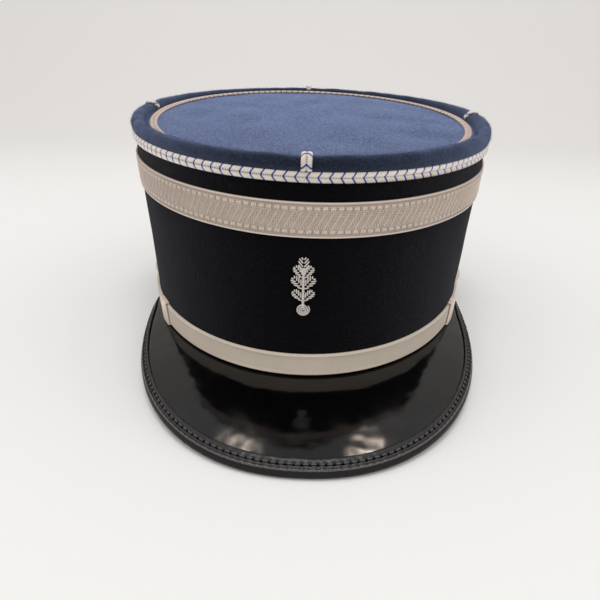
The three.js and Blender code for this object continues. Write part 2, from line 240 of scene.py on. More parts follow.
@dataclass(frozen=True)
class CapForm:
    """The driving shape: two ovals, the wall between them, and how the cap stands."""

    rim: Oval = Oval(86.1, 101.4)
    brow: Oval = Oval(91.9, 98.2, -3.8, 0.037)
    brow_height: float = 97.8
    rise_to_back: float = 0.133
    rise_to_right: float = -0.019
    gap: float = 0.3
    wall: float = 2.8
    body_over_brow: float = 0.6
    crest: Tilted = Tilted(9.9, 0.7, 0.8)
    disc: Tilted = Tilted(5.6, 2.9, 0.4)

    def rim_point(self, angle: Array) -> Array:
        """Returns points on the lower oval."""
        x, y = self.rim.at(angle)
        return np.stack([x, y, np.zeros_like(x)], -1)

    def brow_point(self, angle: Array) -> Array:
        """Returns points on the upper oval."""
        x, y = self.brow.at(angle)
        return np.stack([x, y, self.brow_plane(x, y)], -1)

    def brow_plane(self, x: Array, y: Array) -> Array:
        """Returns the height of the top's plane over the rim's."""
        return self.brow_height + self.rise_to_back * y + self.rise_to_right * x

    @property
    def top_normal(self) -> Array:
        """The direction square to the top's plane."""
        return unit(np.array([-self.rise_to_right, -self.rise_to_back, 1.0]))

    def wall_frame(self, angle: Array) -> tuple[Array, Array, Array]:
        """Gives the wall's directions.

        Args:
            angle: Angles round the cap.

        Returns:
            The foot on the rim, the direction up the wall, and the direction out of it.
        """
        foot = self.rim_point(angle)
        up = unit(self.brow_point(angle) - foot)
        along = heading(self.rim_point, angle) + heading(self.brow_point, angle)
        return foot, up, unit(np.cross(along, up))

    def over_rim(self, angle: Array, out: Measure, height: Measure) -> Array:
        """Returns places up the wall from the rim and out from its face."""
        foot, up, outward = self.wall_frame(angle)
        return foot + up * np.asarray(height)[..., None] + outward * np.asarray(out)[..., None]

    def over_brow(self, angle: Array, out: Measure, height: Measure) -> Array:
        """Gives places over the upper oval, along the wall.

        Args:
            angle: Angles round the cap.
            out: Distance out from the wall's face.
            height: Distance up the wall from the oval.

        Returns:
            The places, with the angles' shape.
        """
        _, up, outward = self.wall_frame(angle)
        lift = up * np.asarray(height)[..., None]
        return self.brow_point(angle) + lift + outward * np.asarray(out)[..., None]

    def over_plane(
        self, point_at: Line, normal: Array, angle: Array, out: Measure, height: Measure,
    ) -> Array:
        """Gives places over an oval's own plane.

        Args:
            point_at: The oval.
            normal: The direction square to its plane.
            angle: Angles round it.
            out: Distance out from it, in its plane.
            height: Distance from its plane.

        Returns:
            The places, with the angles' shape.
        """
        outward = unit(np.cross(heading(point_at, angle), normal))
        lift = normal * np.asarray(height)[..., None]
        return point_at(angle) + outward * np.asarray(out)[..., None] + lift

    def clear_of_body(self, points: Array, gap: float) -> Array:
        """Pushes places straight out until they are clear of the wall.

        Args:
            points: The places.
            gap: How far from the wall they stay.

        Returns:
            The places, moved where they were too near or inside.
        """
        x, y, z = points[..., 0], points[..., 1], points[..., 2]
        climb = np.clip(z / self.brow_plane(x, y), 0, 1)
        wide = self.rim.half_width + (self.brow.half_width - self.rim.half_width) * climb
        long = self.rim.half_length + (self.brow.half_length - self.rim.half_length) * climb
        centre = self.brow.centre_y * climb
        wide, long = wide + gap, long + gap
        away = np.hypot(x / wide, (y - centre) / long)
        push = np.maximum(1 / away, 1)
        return np.stack([x * push, centre + (y - centre) * push, z], -1)

    def on_rim(self, angle: Array, out: Measure, height: Measure) -> Array:
        """Returns places over the rim's plane."""
        return self.over_plane(self.rim_point, np.array([0.0, 0, 1]), angle, out, height)

    def on_top(self, angle: Array, out: Measure, height: Measure) -> Array:
        """Returns places over the top's plane."""
        return self.over_plane(self.brow_point, self.top_normal, angle, out, height)


@dataclass(frozen=True)
class Roll:
    """The padded roll round the top, in section."""

    form: CapForm
    outer: float = 1.0
    ridge: float = -1.6
    inner: float = -5.3
    seat: float = 1.0
    shoulder: float = 4.0
    waist: float = 6.0
    step: float = 0.35
    pinch: float = 0.085
    rear_swell: float = 0.035
    pinch_width: float = 5.5
    shoulder_swell: float = 0.03
    shoulder_away: float = 15
    shoulder_width: float = 8

    @staticmethod
    def from_tab(angle: Array, tab: Tab) -> Array:
        """Returns the distance round the cap to a tab's middle."""
        turned = (angle - math.radians(tab.value) + math.pi) % TURN
        return np.abs(turned - math.pi) * MEAN_RADIUS

    def fullness(self, angle: Array) -> Array:
        """Gives the roll's relative height, pinched at the side and front tabs.

        Args:
            angle: Angles round the cap.

        Returns:
            The share of the full height there.
        """
        full = np.ones(np.shape(angle))
        for tab in Tab:
            away = self.from_tab(angle, tab)
            pinch = -self.rear_swell if tab is Tab.REAR else self.pinch
            beside = self.shoulder_swell * bell(away - self.shoulder_away, self.shoulder_width)
            full = full - pinch * bell(away, self.pinch_width) + beside
        return full

    def skin(self, angle: Array, share: Array, lift: Measure = 0.0) -> tuple[Array, Array]:
        """Gives the roll's skin from its shoulder over the ridge to the disc.

        Args:
            angle: Angles round the cap.
            share: How far over the roll, from 0 to 1.
            lift: How far proud of the skin.

        Returns:
            The distances out from the upper oval and the heights over its plane.
        """
        rise = self.form.crest.height(angle) - self.waist
        disc = self.form.disc.height(angle, self.inner)
        start = -np.arcsin((self.waist - self.shoulder) / rise)
        foot = np.maximum((disc + self.step - self.waist) / rise, 0)
        turn = start + (math.pi - np.arcsin(foot) - start) * share
        reach = np.where(np.cos(turn) > 0, self.outer - self.ridge, self.ridge - self.inner)
        full = self.fullness(angle)
        out = self.ridge + (reach + lift) * np.cos(turn)
        height = self.waist + (rise * np.where(np.sin(turn) > 0, full, 1) + lift) * np.sin(turn)
        return out, height


@dataclass(frozen=True)
class PeakForm:
    """The peak's shape: a rounded outer edge that falls to the front, and the line on the body."""

    form: CapForm
    half_width: float = 84.3
    length: float = 112.0
    centre_x: float = 1.6
    centre_y: float = -38.0
    roundness: float = 2.2
    front_drop: float = 9.7
    fall: float = 0.13
    thickness: float = 1.8
    crown: float = 0.1
    under_strap: float = 0.7
    inner_end: float = 75.0
    outer_end: float = 95.0
    strap_front: float = 1.8
    strap_rise: float = 10.7
    strap_width: float = 10.2
    strap_thickness: float = 1.3
    binding_width: float = 6.6
    binding_leather: float = 0.7

    def strap_foot(self, angle: Array) -> Array:
        """Returns the height of the strap's lower edge over the rim."""
        return self.strap_front + self.strap_rise * (1 - np.cos(angle))

    def edge(self, share: Array) -> Array:
        """Gives places on the outer edge.

        Args:
            share: Shares from -1 to 1 of the way along it.

        Returns:
            The places.
        """
        turn = share * math.radians(self.outer_end)
        sine, cosine = np.sin(turn), np.cos(turn)
        power = 2 / self.roundness
        x = self.centre_x + self.half_width * np.sign(sine) * np.abs(sine) ** power
        y = self.centre_y - self.length * np.sign(cosine) * np.abs(cosine) ** power
        z = -self.front_drop + self.fall * (y - (self.centre_y - self.length))
        return np.stack([x, y, z], -1)

    def root(self, share: Array) -> Array:
        """Gives the line where the peak's middle layer meets the body.

        Args:
            share: Shares from -1 to 1 of the way along it.

        Returns:
            The places.
        """
        angle = share * math.radians(self.inner_end)
        height = self.strap_foot(angle) - self.under_strap - self.thickness / 2
        return self.form.over_rim(angle, self.form.gap * np.ones_like(angle), height)

    def reach(self, share: Array) -> Array:
        """Returns the distance from the outer edge to the root."""
        return np.linalg.norm(self.root(share) - self.edge(share), axis=-1)

    def place(self, share: Array, inset: Array, lift: Array) -> Array:
        """Gives places on the peak.

        Args:
            share: Shares along the edge.
            inset: Distances in from the outer edge.
            lift: Distances over the middle layer.

        Returns:
            The places, in the shape of the arguments together.
        """
        share, inset, lift = np.broadcast_arrays(share, inset, lift)
        edge, root = self.edge(share), self.root(share)
        reach = np.linalg.norm(root - edge, axis=-1)
        inward = unit(root - edge)
        up = unit(-np.cross(heading(self.edge, share, 0.002), inward))
        up = up * np.sign(up[..., 2:])
        swell = self.crown * inset * (1 - inset / reach)
        points = edge + inward * inset[..., None] + up * (lift + swell)[..., None]
        return self.form.clear_of_body(points, 2 * self.form.gap)


class Standing:
    """Leans the drawn cap back onto the floor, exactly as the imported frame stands."""

    def __init__(self, form: CapForm, peak: PeakForm) -> None:
        """Finds the lean from the peak's front edge and the rim, and the place from the body's box.

        Args:
            form: The cap's form.
            peak: The peak's form.
        """
        zero = np.zeros(1)
        lowest_inset = 1.6
        under = -(peak.thickness / 2 + form.gap + peak.binding_leather)
        front = peak.place(zero, zero + lowest_inset, zero + under)[0]
        lean = -math.atan2(-front[2], form.rim.half_length - front[1])
        self.turn = np.array(Matrix.Rotation(lean, 3, "X"))
        self.shift = np.zeros(3)
        angle = np.linspace(0, TURN, 73)[:-1]
        body = np.concatenate(
            [
                form.on_rim(angle, zero - 0.5, zero), form.on_rim(angle, zero, zero + 0.5),
                form.on_top(angle, zero, zero + form.body_over_brow),
            ]
        )
        lowest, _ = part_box("crown_body")
        self.shift = np.array(lowest) / MM - self.points(body).min(0)

    def points(self, points: Array) -> Array:
        """Returns the places of drawn points on the floor, still in mm."""
        return points @ self.turn.T + self.shift

    def directions(self, vectors: Array) -> Array:
        """Returns drawn directions as they stand."""
        return vectors @ self.turn.T


class Path:
    """Measures lengths along a line round the cap."""

    STATIONS = 4001

    def __init__(self, point_at: Line, start: float, end: float) -> None:
        """Walks the line once.

        Args:
            point_at: The line.
            start: Its first parameter.
            end: Its last parameter.
        """
        self.parameters = np.linspace(start, end, self.STATIONS)
        steps = np.diff(point_at(self.parameters), axis=0)
        self.lengths = np.append(0, np.cumsum(np.linalg.norm(steps, axis=-1)))
        self.length = float(self.lengths[-1])

    def at(self, length: Array) -> Array:
        """Returns the parameters at the lengths."""
        return np.interp(length, self.lengths, self.parameters)

    def round(self, length: Array) -> Array:
        """Returns the parameters at the lengths, which start again past the end."""
        return self.at(length % self.length)


# Meshes


class Shape:
    """Gathers the vertices and faces of one piece, with a map in mm along and across its threads."""

    def __init__(self) -> None:
        """Starts with nothing in it."""
        self.points: list[Array] = []
        self.faces: list[Array] = []
        self.charts: list[Array] = []
        self.finishes: list[Array] = []
        self.size = 0

    def _keep(self, points: Array) -> Array:
        """Adds vertices.

        Args:
            points: Their places.

        Returns:
            Their numbers, in the same arrangement.
        """
        count = int(np.prod(points.shape[:-1]))
        numbers = np.arange(self.size, self.size + count).reshape(points.shape[:-1])
        self.points.append(points.reshape(-1, 3))
        self.size += count
        return numbers

    def _face(self, corners: Array, chart: Array, finish: int | Array) -> None:
        """Adds faces of one corner count.

        Args:
            corners: The vertices' numbers, a row for each face.
            chart: The map at the corners.
            finish: Which of the piece's materials they have.
        """
        self.faces.append(corners)
        self.charts.append(chart)
        self.finishes.append(np.full(len(corners), finish))

    def grid(
        self, points: Array, chart: Array, round_rows: bool = False, round_columns: bool = False,
        finish: int | Array = 0,
    ) -> Array:
        """Adds a sheet of quads.

        Args:
            points: Rows of columns of places.
            chart: The map there, with one more row or column where the sheet closes on itself.
            round_rows: Whether the last row joins the first.
            round_columns: Whether the last column joins the first.
            finish: Which of the piece's materials it has, or which for each gap between columns.

        Returns:
            The vertices' numbers, arranged as the points.
        """
        numbers = self._keep(points)
        index = numbers
        if round_rows:
            index = np.concatenate([index, index[:1]], 0)
        if round_columns:
            index = np.concatenate([index, index[:, :1]], 1)
        chart = np.broadcast_to(chart, (*index.shape, 2))
        chosen = np.broadcast_to(finish, (index.shape[0] - 1, index.shape[1] - 1)).ravel()
        self._face(quads(index).reshape(-1, 4), quads(chart).reshape(-1, 4, 2), chosen)
        return numbers

    def lid(self, ring: Array, finish: int = 0) -> None:
        """Closes a ring of vertices with one flat face."""
        self._face(ring[None], np.zeros((1, len(ring), 2)), finish)

    def bar(
        self, points: Array, chart: Array, finish: int | Array = 0, ends: int = 0,
        closed: bool = False,
    ) -> None:
        """Adds a closed bar of quads, whose section goes round in its columns.

        Args:
            points: Rows of sections along the bar.
            chart: The map there, with one more column, and one more row in a closed bar.
            finish: Which of the piece's materials it has, or which for each quad.
            ends: Which material its two ends have.
            closed: Whether its end meets its start, so that it has no ends.
        """
        numbers = self.grid(points, chart, closed, True, finish)
        for end in () if closed else (0, -1):
            self.lid(numbers[end], ends)

    def pole(self, ring: Array, place: Array, chart: Array) -> None:
        """Closes a ring with triangles to one place.

        Args:
            ring: The ring's vertices.
            place: Where the triangles meet.
            chart: The map along the ring, whose mean is the map where they meet.
        """
        tip = self._keep(place[None])[0]
        corners = np.stack([ring, np.roll(ring, -1), np.full(len(ring), tip)], -1)
        middle = np.broadcast_to(chart.mean(0), chart.shape)
        self._face(corners, np.stack([chart, np.roll(chart, -1, 0), middle], 1), 0)

    def threads(
        self, surface: Surface, along: Array, across: Array, lift: Array, width: Measure,
        height: Measure, sides: int = 5, finish: int = 0,
    ) -> None:
        """Adds closed threads that lie on a surface.

        Args:
            surface: Gives places from the length along, the distance across and the lift.
            along: For each thread, the lengths along the surface.
            across: The distances across it.
            lift: The lifts over it.
            width: Half of each thread's width there.
            height: Half of its height there.
            sides: Corners of its section.
            finish: Which of the piece's materials it has.
        """
        paths = surface(along, across, lift)
        beside = surface(along + 0.2, across, lift) - paths
        self.strands(paths, beside, width, height, sides, finish)

    def strands(
        self, paths: Array, beside: Array, width: Measure, height: Measure, sides: int = 5,
        finish: int = 0,
    ) -> None:
        """Adds many closed threads at once.

        Args:
            paths: For each thread, the places of its middle line.
            beside: At each place, roughly the direction across the thread.
            width: Half of each thread's width there.
            height: Half of its height there.
            sides: Corners of its section.
            finish: Which of the piece's materials it has.
        """
        tangent = unit(np.gradient(paths, axis=1))
        beside = unit(beside - tangent * (beside * tangent).sum(-1, keepdims=True))
        above = np.cross(tangent, beside)
        turn = np.arange(sides) * TURN / sides + TURN / 4
        width = np.broadcast_to(width, paths.shape[:2])[..., None, None]
        height = np.broadcast_to(height, paths.shape[:2])[..., None, None]
        rings = paths[:, :, None] + (
            width * np.cos(turn)[:, None] * beside[:, :, None]
            + height * np.sin(turn)[:, None] * above[:, :, None]
        )
        numbers = self._keep(rings)
        step = np.linalg.norm(np.diff(paths, axis=1), axis=-1)
        run = np.concatenate([np.zeros((len(paths), 1)), np.cumsum(step, 1)], 1)
        lane = np.arange(sides + 1) * float(np.mean(width)) * TURN / sides
        offset = np.arange(len(paths))[:, None] * 1.37
        chart = chart_of((run + offset)[..., None], lane)
        index = np.concatenate([numbers, numbers[:, :, :1]], 2)
        self._face(quads(index, 1).reshape(-1, 4), quads(chart, 1).reshape(-1, 4, 2), finish)
        for end in (0, -1):
            self._face(numbers[:, end], chart[:, end, :-1], finish)

    def fibres(self, roots: Array, tips: Array, finish: int = 0, radius: float = 0.035) -> None:
        """Adds many short fibres, each a slim closed spike.

        Args:
            roots: Where they grow from.
            tips: Where they end.
            finish: Which of the piece's materials they have.
            radius: Their radius at the root.
        """
        run = unit(tips - roots)
        beside = unit(np.cross(run, np.array([0.31, 0.52, 0.79])))
        above = np.cross(run, beside)
        turns = np.arange(3) * TURN / 3
        ring = roots[:, None] + radius * (
            np.cos(turns)[:, None] * beside[:, None] + np.sin(turns)[:, None] * above[:, None]
        )
        numbers = self._keep(np.concatenate([ring, tips[:, None]], 1))
        for order in ((0, 1, 3), (1, 2, 3), (2, 0, 3), (0, 2, 1)):
            corners = numbers[:, list(order)]
            self._face(corners, np.zeros((*corners.shape, 2)), finish)

    def piece(
        self, name: str, standing: Standing, finishes: list[Material], crease: float = 50.0,
    ) -> Piece:
        """Makes the object.

        Args:
            name: The piece's name.
            standing: How the cap stands.
            finishes: Its materials, in the order of the faces' numbers.
            crease: Edges sharper than this many degrees stay sharp.

        Returns:
            The new object, linked to the scene.
        """
        points = standing.points(np.concatenate(self.points)) * MM
        corners = np.concatenate([faces.ravel() for faces in self.faces])
        totals = np.concatenate([np.full(len(f), f.shape[1]) for f in self.faces])
        mesh = bpy.data.meshes.new(name)
        mesh.vertices.add(len(points))
        mesh.vertices.foreach_set("co", points.astype(np.float32).ravel())
        mesh.loops.add(len(corners))
        mesh.loops.foreach_set("vertex_index", corners.astype(np.int32))
        mesh.polygons.add(len(totals))
        starts = np.append(0, np.cumsum(totals)[:-1])
        mesh.polygons.foreach_set("loop_start", starts.astype(np.int32))
        numbers = np.concatenate(self.finishes).astype(np.int32)
        mesh.polygons.foreach_set("material_index", numbers)
        mesh.update(calc_edges=True)
        chart = mesh.uv_layers.new(name=CHART)
        flat = np.concatenate([c.reshape(-1, 2) for c in self.charts])
        chart.data.foreach_set("uv", (flat * CHART_SCALE).astype(np.float32).ravel())
        for material in finishes:
            mesh.materials.append(material)
        work = bmesh.new()
        work.from_mesh(mesh)
        bmesh.ops.recalc_face_normals(work, faces=work.faces)
        work.to_mesh(mesh)
        work.free()
        mesh.polygons.foreach_set("use_smooth", np.ones(len(totals), bool))
        mesh.set_sharp_from_angle(angle=math.radians(crease))
        return put(name, mesh)


def settle(piece: Piece, slot: Slot, *nodes: str) -> Piece:
    """Rides a piece on the cap and hides the imported parts that it stands for.

    Args:
        piece: The piece.
        slot: Not used.
        nodes: The nodes it stands for.

    Returns:
        The piece.
    """
    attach(piece, "root")
    if nodes:
        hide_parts(*nodes)
    triangles = sum(len(face.vertices) - 2 for face in piece.data.polygons)
    log.info("%s: %d triangles", piece.name, triangles)
    return piece


# Shared shader effects


class Nodes:
    """Adds linked nodes to one shader or group tree."""

    def __init__(self, tree: Tree) -> None:
        """Keeps the tree."""
        self.tree = tree

    def add(
        self, kind: str, inputs: dict[str | int, object] | None = None, **settings: object,
    ) -> Node:
        """Adds a node.

        Args:
            kind: The node's type, without the ShaderNode prefix.
            inputs: A value or an output to link, for each input by name or number.
            settings: The node's own properties.

        Returns:
            The node.
        """
        node = self.tree.nodes.new("ShaderNode" + kind)
        for name, value in settings.items():
            setattr(node, name, value)
        for key, value in (inputs or {}).items():
            if isinstance(value, Socket):
                self.tree.links.new(value, node.inputs[key])
            else:
                node.inputs[key].default_value = value
        return node

    def link(self, socket: Socket, node: Node, title: str) -> None:
        """Links an output to a node's input."""
        self.tree.links.new(socket, node.inputs[title])

    def math(self, operation: str, *values: object) -> Socket:
        """Returns the result of a Math node on the values."""
        return self.add("Math", dict(enumerate(values)), operation=operation).outputs[0]

    def band(self, value: object, low: float, high: float) -> Socket:
        """Returns 0 below the low value, 1 above the high one, and a smooth rise between."""
        inputs = {"Value": value, "From Min": low, "From Max": high}
        return self.add("MapRange", inputs, interpolation_type="SMOOTHSTEP").outputs[0]

    def blend(self, share: object, first: object, second: object) -> Socket:
        """Returns a colour between two, by the share of the second."""
        ends = [(*end, 1) if isinstance(end, tuple) else end for end in (first, second)]
        return self.add("Mix", {0: share, 6: ends[0], 7: ends[1]}, data_type="RGBA").outputs[2]

    def noise(
        self, vector: object, scale: object, detail: float = 4.0, rough: float = 0.6, bend: float = 0.0
    ) -> Socket:
        """Returns the value of a noise texture."""
        inputs = {"Vector": vector, "Scale": scale, "Detail": detail, "Roughness": rough}
        return self.add("TexNoise", {**inputs, "Distortion": bend}).outputs[0]


class Effect:
    """A shader node group that several finishes use, made once."""

    made: dict[str, Tree] = {}
    name = "effect"
    takes: tuple[tuple[str, float], ...] = ()
    gives: tuple[str, ...] = ()

    def draw(self, nodes: Nodes, given: Node) -> dict[str, Socket]:
        """Adds the group's nodes and returns what each output reads."""
        raise NotImplementedError

    def tree(self) -> Tree:
        """Gives the group, which it makes the first time.

        Returns:
            The node group.
        """
        if self.name in Effect.made:
            return Effect.made[self.name]
        tree = bpy.data.node_groups.new(self.name, "ShaderNodeTree")
        tree.interface.new_socket("Vector", in_out="INPUT", socket_type="NodeSocketVector")
        for title, value in self.takes:
            socket = tree.interface.new_socket(title, in_out="INPUT", socket_type="NodeSocketFloat")
            socket.default_value = value
        for title in self.gives:
            tree.interface.new_socket(title, in_out="OUTPUT", socket_type="NodeSocketFloat")
        given = tree.nodes.new("NodeGroupInput")
        result = tree.nodes.new("NodeGroupOutput")
        for title, socket in self.draw(Nodes(tree), given).items():
            tree.links.new(socket, result.inputs[title])
        Effect.made[self.name] = tree
        return tree

    def place(self, nodes: Nodes, vector: object, **values: float) -> Node:
        """Places the group in a material.

        Args:
            nodes: The material's nodes.
            vector: The coordinates it reads.
            values: Its inputs, with underscores for spaces.

        Returns:
            The group node.
        """
        node = nodes.tree.nodes.new("ShaderNodeGroup")
        node.node_tree = self.tree()
        nodes.link(vector, node, "Vector")
        set_inputs(node, **values)
        return node


class FeltNap(Effect):
    """Felted wool: tangled fibres over soft mottling."""

    name = "Felt nap"
    takes = (("Fibre scale", 900.0), ("Mottle scale", 45.0))
    gives = ("Tint", "Height")

    def draw(self, nodes: Nodes, given: Node) -> dict[str, Socket]:
        """Adds two fibre layers, one drawn out along X and one along Y, and the mottling.

        Args:
            nodes: The group's nodes.
            given: The node that holds the group's inputs.

        Returns:
            What each output reads.
        """
        vector, layers = given.outputs["Vector"], []
        for scale in ((1.0, 0.35, 1.0), (0.4, 1.0, 0.6)):
            drawn = nodes.add("Mapping", {"Vector": vector, "Scale": scale}).outputs[0]
            layers.append(nodes.noise(drawn, given.outputs["Fibre scale"], 5.0, 0.72, 0.8))
        fibres = nodes.math("MAXIMUM", *layers)
        mottle = nodes.noise(vector, given.outputs["Mottle scale"], 3.0, 0.5)
        tint = nodes.math("MULTIPLY_ADD", nodes.band(fibres, 0.42, 0.72), 0.8, 0.0)
        tint = nodes.math("MULTIPLY_ADD", mottle, 0.25, tint)
        return {"Tint": tint, "Height": fibres}


class Dust(Effect):
    """Sparse specks of lint or dust."""

    name = "Dust"
    takes = (("Spacing scale", 90.0), ("Speck size", 0.03))
    gives = ("Mask",)

    def draw(self, nodes: Nodes, given: Node) -> dict[str, Socket]:
        """Adds a speck in about one cell of four.

        Args:
            nodes: The group's nodes.
            given: The node that holds the group's inputs.

        Returns:
            What each output reads.
        """
        inputs = {"Vector": given.outputs["Vector"], "Scale": given.outputs["Spacing scale"]}
        cells = nodes.add("TexVoronoi", {**inputs, "Randomness": 1.0})
        chance = nodes.add("SeparateXYZ", {0: cells.outputs["Color"]}).outputs[0]
        near = nodes.math("LESS_THAN", cells.outputs["Distance"], given.outputs["Speck size"])
        return {"Mask": nodes.math("MULTIPLY", near, nodes.math("GREATER_THAN", chance, 0.72))}


class ThreadTwist(Effect):
    """The slanted lines of twisted metal thread, along each strand."""

    name = "Thread twist"
    takes = (("Turns", 300.0), ("Lean", 0.6))
    gives = ("Tint", "Height")

    def draw(self, nodes: Nodes, given: Node) -> dict[str, Socket]:
        """Adds the twist as a wave along the strand that leans across it.

        Args:
            nodes: The group's nodes.
            given: The node that holds the group's inputs.

        Returns:
            What each output reads.
        """
        split = nodes.add("SeparateXYZ", {0: given.outputs["Vector"]})
        across = nodes.math("MULTIPLY", split.outputs[1], given.outputs["Lean"])
        along = nodes.math("ADD", split.outputs[0], across)
        turns = nodes.math("MULTIPLY", along, given.outputs["Turns"])
        wave = nodes.math("SINE", nodes.math("MULTIPLY", turns, TURN))
        ridge = nodes.math("MULTIPLY_ADD", wave, 0.5, 0.5)
        fleck = nodes.noise(given.outputs["Vector"], 140.0, 2.0)
        tint = nodes.math("MULTIPLY_ADD", ridge, 0.5, nodes.math("MULTIPLY", fleck, 0.5))
        return {"Tint": tint, "Height": ridge}


class LaceWeave(Effect):
    """Woven metal lace: a fine zigzag of short floats."""

    name = "Lace weave"
    takes = (("Floats", 180.0), ("Rows", 130.0), ("Zigzag", 0.6))
    gives = ("Tint", "Height")

    def draw(self, nodes: Nodes, given: Node) -> dict[str, Socket]:
        """Adds floats that lean one way in one row and the other way in the next.

        Args:
            nodes: The group's nodes.
            given: The node that holds the group's inputs.

        Returns:
            What each output reads.
        """
        split = nodes.add("SeparateXYZ", {0: given.outputs["Vector"]})
        rows = nodes.math("MULTIPLY", split.outputs[1], given.outputs["Rows"])
        lean = nodes.math("PINGPONG", rows, 1.0)
        shift = nodes.math("MULTIPLY", lean, given.outputs["Zigzag"])
        floats = nodes.math("MULTIPLY", split.outputs[0], given.outputs["Floats"])
        wave = nodes.math("SINE", nodes.math("MULTIPLY", nodes.math("ADD", floats, shift), TURN))
        grain = nodes.math("SINE", nodes.math("MULTIPLY", rows, TURN))
        ridge = nodes.math("MULTIPLY_ADD", wave, 0.32, 0.5)
        ridge = nodes.math("MULTIPLY_ADD", grain, 0.18, ridge)
        fleck = nodes.noise(given.outputs["Vector"], 160.0, 3.0)
        tint = nodes.math("MULTIPLY_ADD", ridge, 0.6, nodes.math("MULTIPLY", fleck, 0.4))
        return {"Tint": tint, "Height": ridge}


class LeatherGrain(Effect):
    """The pebbled grain of leather, with broad unevenness under it."""

    name = "Leather grain"
    takes = (("Grain scale", 1400.0), ("Swell scale", 30.0))
    gives = ("Grain", "Swell")

    def draw(self, nodes: Nodes, given: Node) -> dict[str, Socket]:
        """Adds the pebbles and the broad waves.

        Args:
            nodes: The group's nodes.
            given: The node that holds the group's inputs.

        Returns:
            What each output reads.
        """
        inputs = {"Vector": given.outputs["Vector"], "Scale": given.outputs["Grain scale"]}
        cells = nodes.add("TexVoronoi", inputs, feature="SMOOTH_F1")
        swell = nodes.noise(given.outputs["Vector"], given.outputs["Swell scale"], 3.0, 0.45)
        return {"Grain": cells.outputs["Distance"], "Swell": swell}


# Finishes


@dataclass(frozen=True)
class Finish:
    """One finish: its name, its colours and its gloss."""

    name: str
    dark: Colour
    light: Colour
    roughness: float = 0.8

    def paint(self, nodes: Nodes, shader: Node) -> None:
        """Sets the shader's inputs."""
        raise NotImplementedError

    def material(self) -> Material:
        """Makes the material.

        Returns:
            The new material.
        """
        material = bpy.data.materials.new(self.name)
        material.use_nodes = True
        material.node_tree.nodes.clear()
        nodes = Nodes(material.node_tree)
        shader = nodes.add("BsdfPrincipled", {"Roughness": self.roughness})
        nodes.add("OutputMaterial", {"Surface": shader.outputs[0]})
        self.paint(nodes, shader)
        return material

    @staticmethod
    def place_of(nodes: Nodes) -> Socket:
        """Returns the object's own coordinates, in metres."""
        return nodes.add("TexCoord").outputs["Object"]

    @staticmethod
    def lay_of(nodes: Nodes) -> Socket:
        """Returns the map along and across the threads."""
        return nodes.add("UVMap", uv_map=CHART).outputs[0]

    def emboss(
        self, nodes: Nodes, shader: Node, height: object, depth: float,
        under: Socket | None = None,
    ) -> Socket:
        """Adds a bump to the shader's normal.

        Args:
            nodes: The material's nodes.
            shader: The shader.
            height: The height it reads.
            depth: How deep it is, in metres.
            under: A normal to add it to.

        Returns:
            The new normal.
        """
        inputs = {"Height": height, "Distance": depth, "Strength": 1.0}
        if under is not None:
            inputs["Normal"] = under
        bump = nodes.add("Bump", inputs)
        nodes.link(bump.outputs[0], shader, "Normal")
        return bump.outputs[0]


@dataclass(frozen=True)
class WoolFinish(Finish):
    """Felted wool with a pale nap; at a glancing angle it has a real sheen and a sheen painted into
    its colour.
    """

    roughness: float = 0.9
    nap: float = 0.3
    nap_roughness: float = 0.5
    nap_tint: Colour = (0.42, 0.56, 1.0)
    # Painted sheen: a colour painted into the wool at a glancing angle, and how sharply it comes in.
    painted_sheen: Colour = (0.1, 0.13, 0.22)
    painted_sheen_falloff: float = 2.2
    relief: float = 0.0002
    fibre_scale: float = 900.0
    lint: float = 0.02
    gloss: float = 0.1

    def paint(self, nodes: Nodes, shader: Node) -> None:
        """Mixes the fibres' colours, paints a sheen into them at a glancing angle, adds lint, and
        raises the fibres.

        Args:
            nodes: The material's nodes.
            shader: The material's shader.
        """
        place = self.place_of(nodes)
        nap = FeltNap().place(nodes, place, Fibre_scale=self.fibre_scale)
        dust = Dust().place(nodes, place, Spacing_scale=70.0, Speck_size=self.lint)
        colour = nodes.blend(nap.outputs["Tint"], self.dark, self.light)
        # Painted sheen: towards a glancing angle the colour turns to the painted sheen colour,
        # textured by the fibres.
        glance = nodes.add("LayerWeight", {"Blend": 0.5}).outputs["Facing"]
        glance = nodes.math("POWER", glance, self.painted_sheen_falloff)
        fringe = nodes.math("MULTIPLY_ADD", nap.outputs["Tint"], 1.1, 0.25)
        painted_sheen = nodes.blend(fringe, (0.0, 0.0, 0.0), self.painted_sheen)
        colour = nodes.blend(glance, colour, painted_sheen)
        lint = nodes.math("MULTIPLY", dust.outputs["Mask"], 0.5)
        colour = nodes.blend(lint, colour, (0.35, 0.35, 0.36))
        nodes.link(colour, shader, "Base Color")
        tint = (*self.nap_tint, 1)
        set_inputs(shader, Sheen_Weight=self.nap, Sheen_Tint=tint)
        set_inputs(shader, Sheen_Roughness=self.nap_roughness, Specular_IOR_Level=self.gloss)
        self.emboss(nodes, shader, nap.outputs["Height"], self.relief)


@dataclass(frozen=True)
class ThreadFinish(Finish):
    """Twisted metal or silk thread."""

    metal: float = 0.0
    turns: float = 300.0
    relief: float = 0.00006

    def paint(self, nodes: Nodes, shader: Node) -> None:
        """Draws the twist in colour and relief.

        Args:
            nodes: The material's nodes.
            shader: The material's shader.
        """
        twist = ThreadTwist().place(nodes, self.lay_of(nodes), Turns=self.turns)
        colour = nodes.blend(twist.outputs["Tint"], self.dark, self.light)
        nodes.link(colour, shader, "Base Color")
        set_inputs(shader, Metallic=self.metal)
        self.emboss(nodes, shader, twist.outputs["Height"], self.relief)


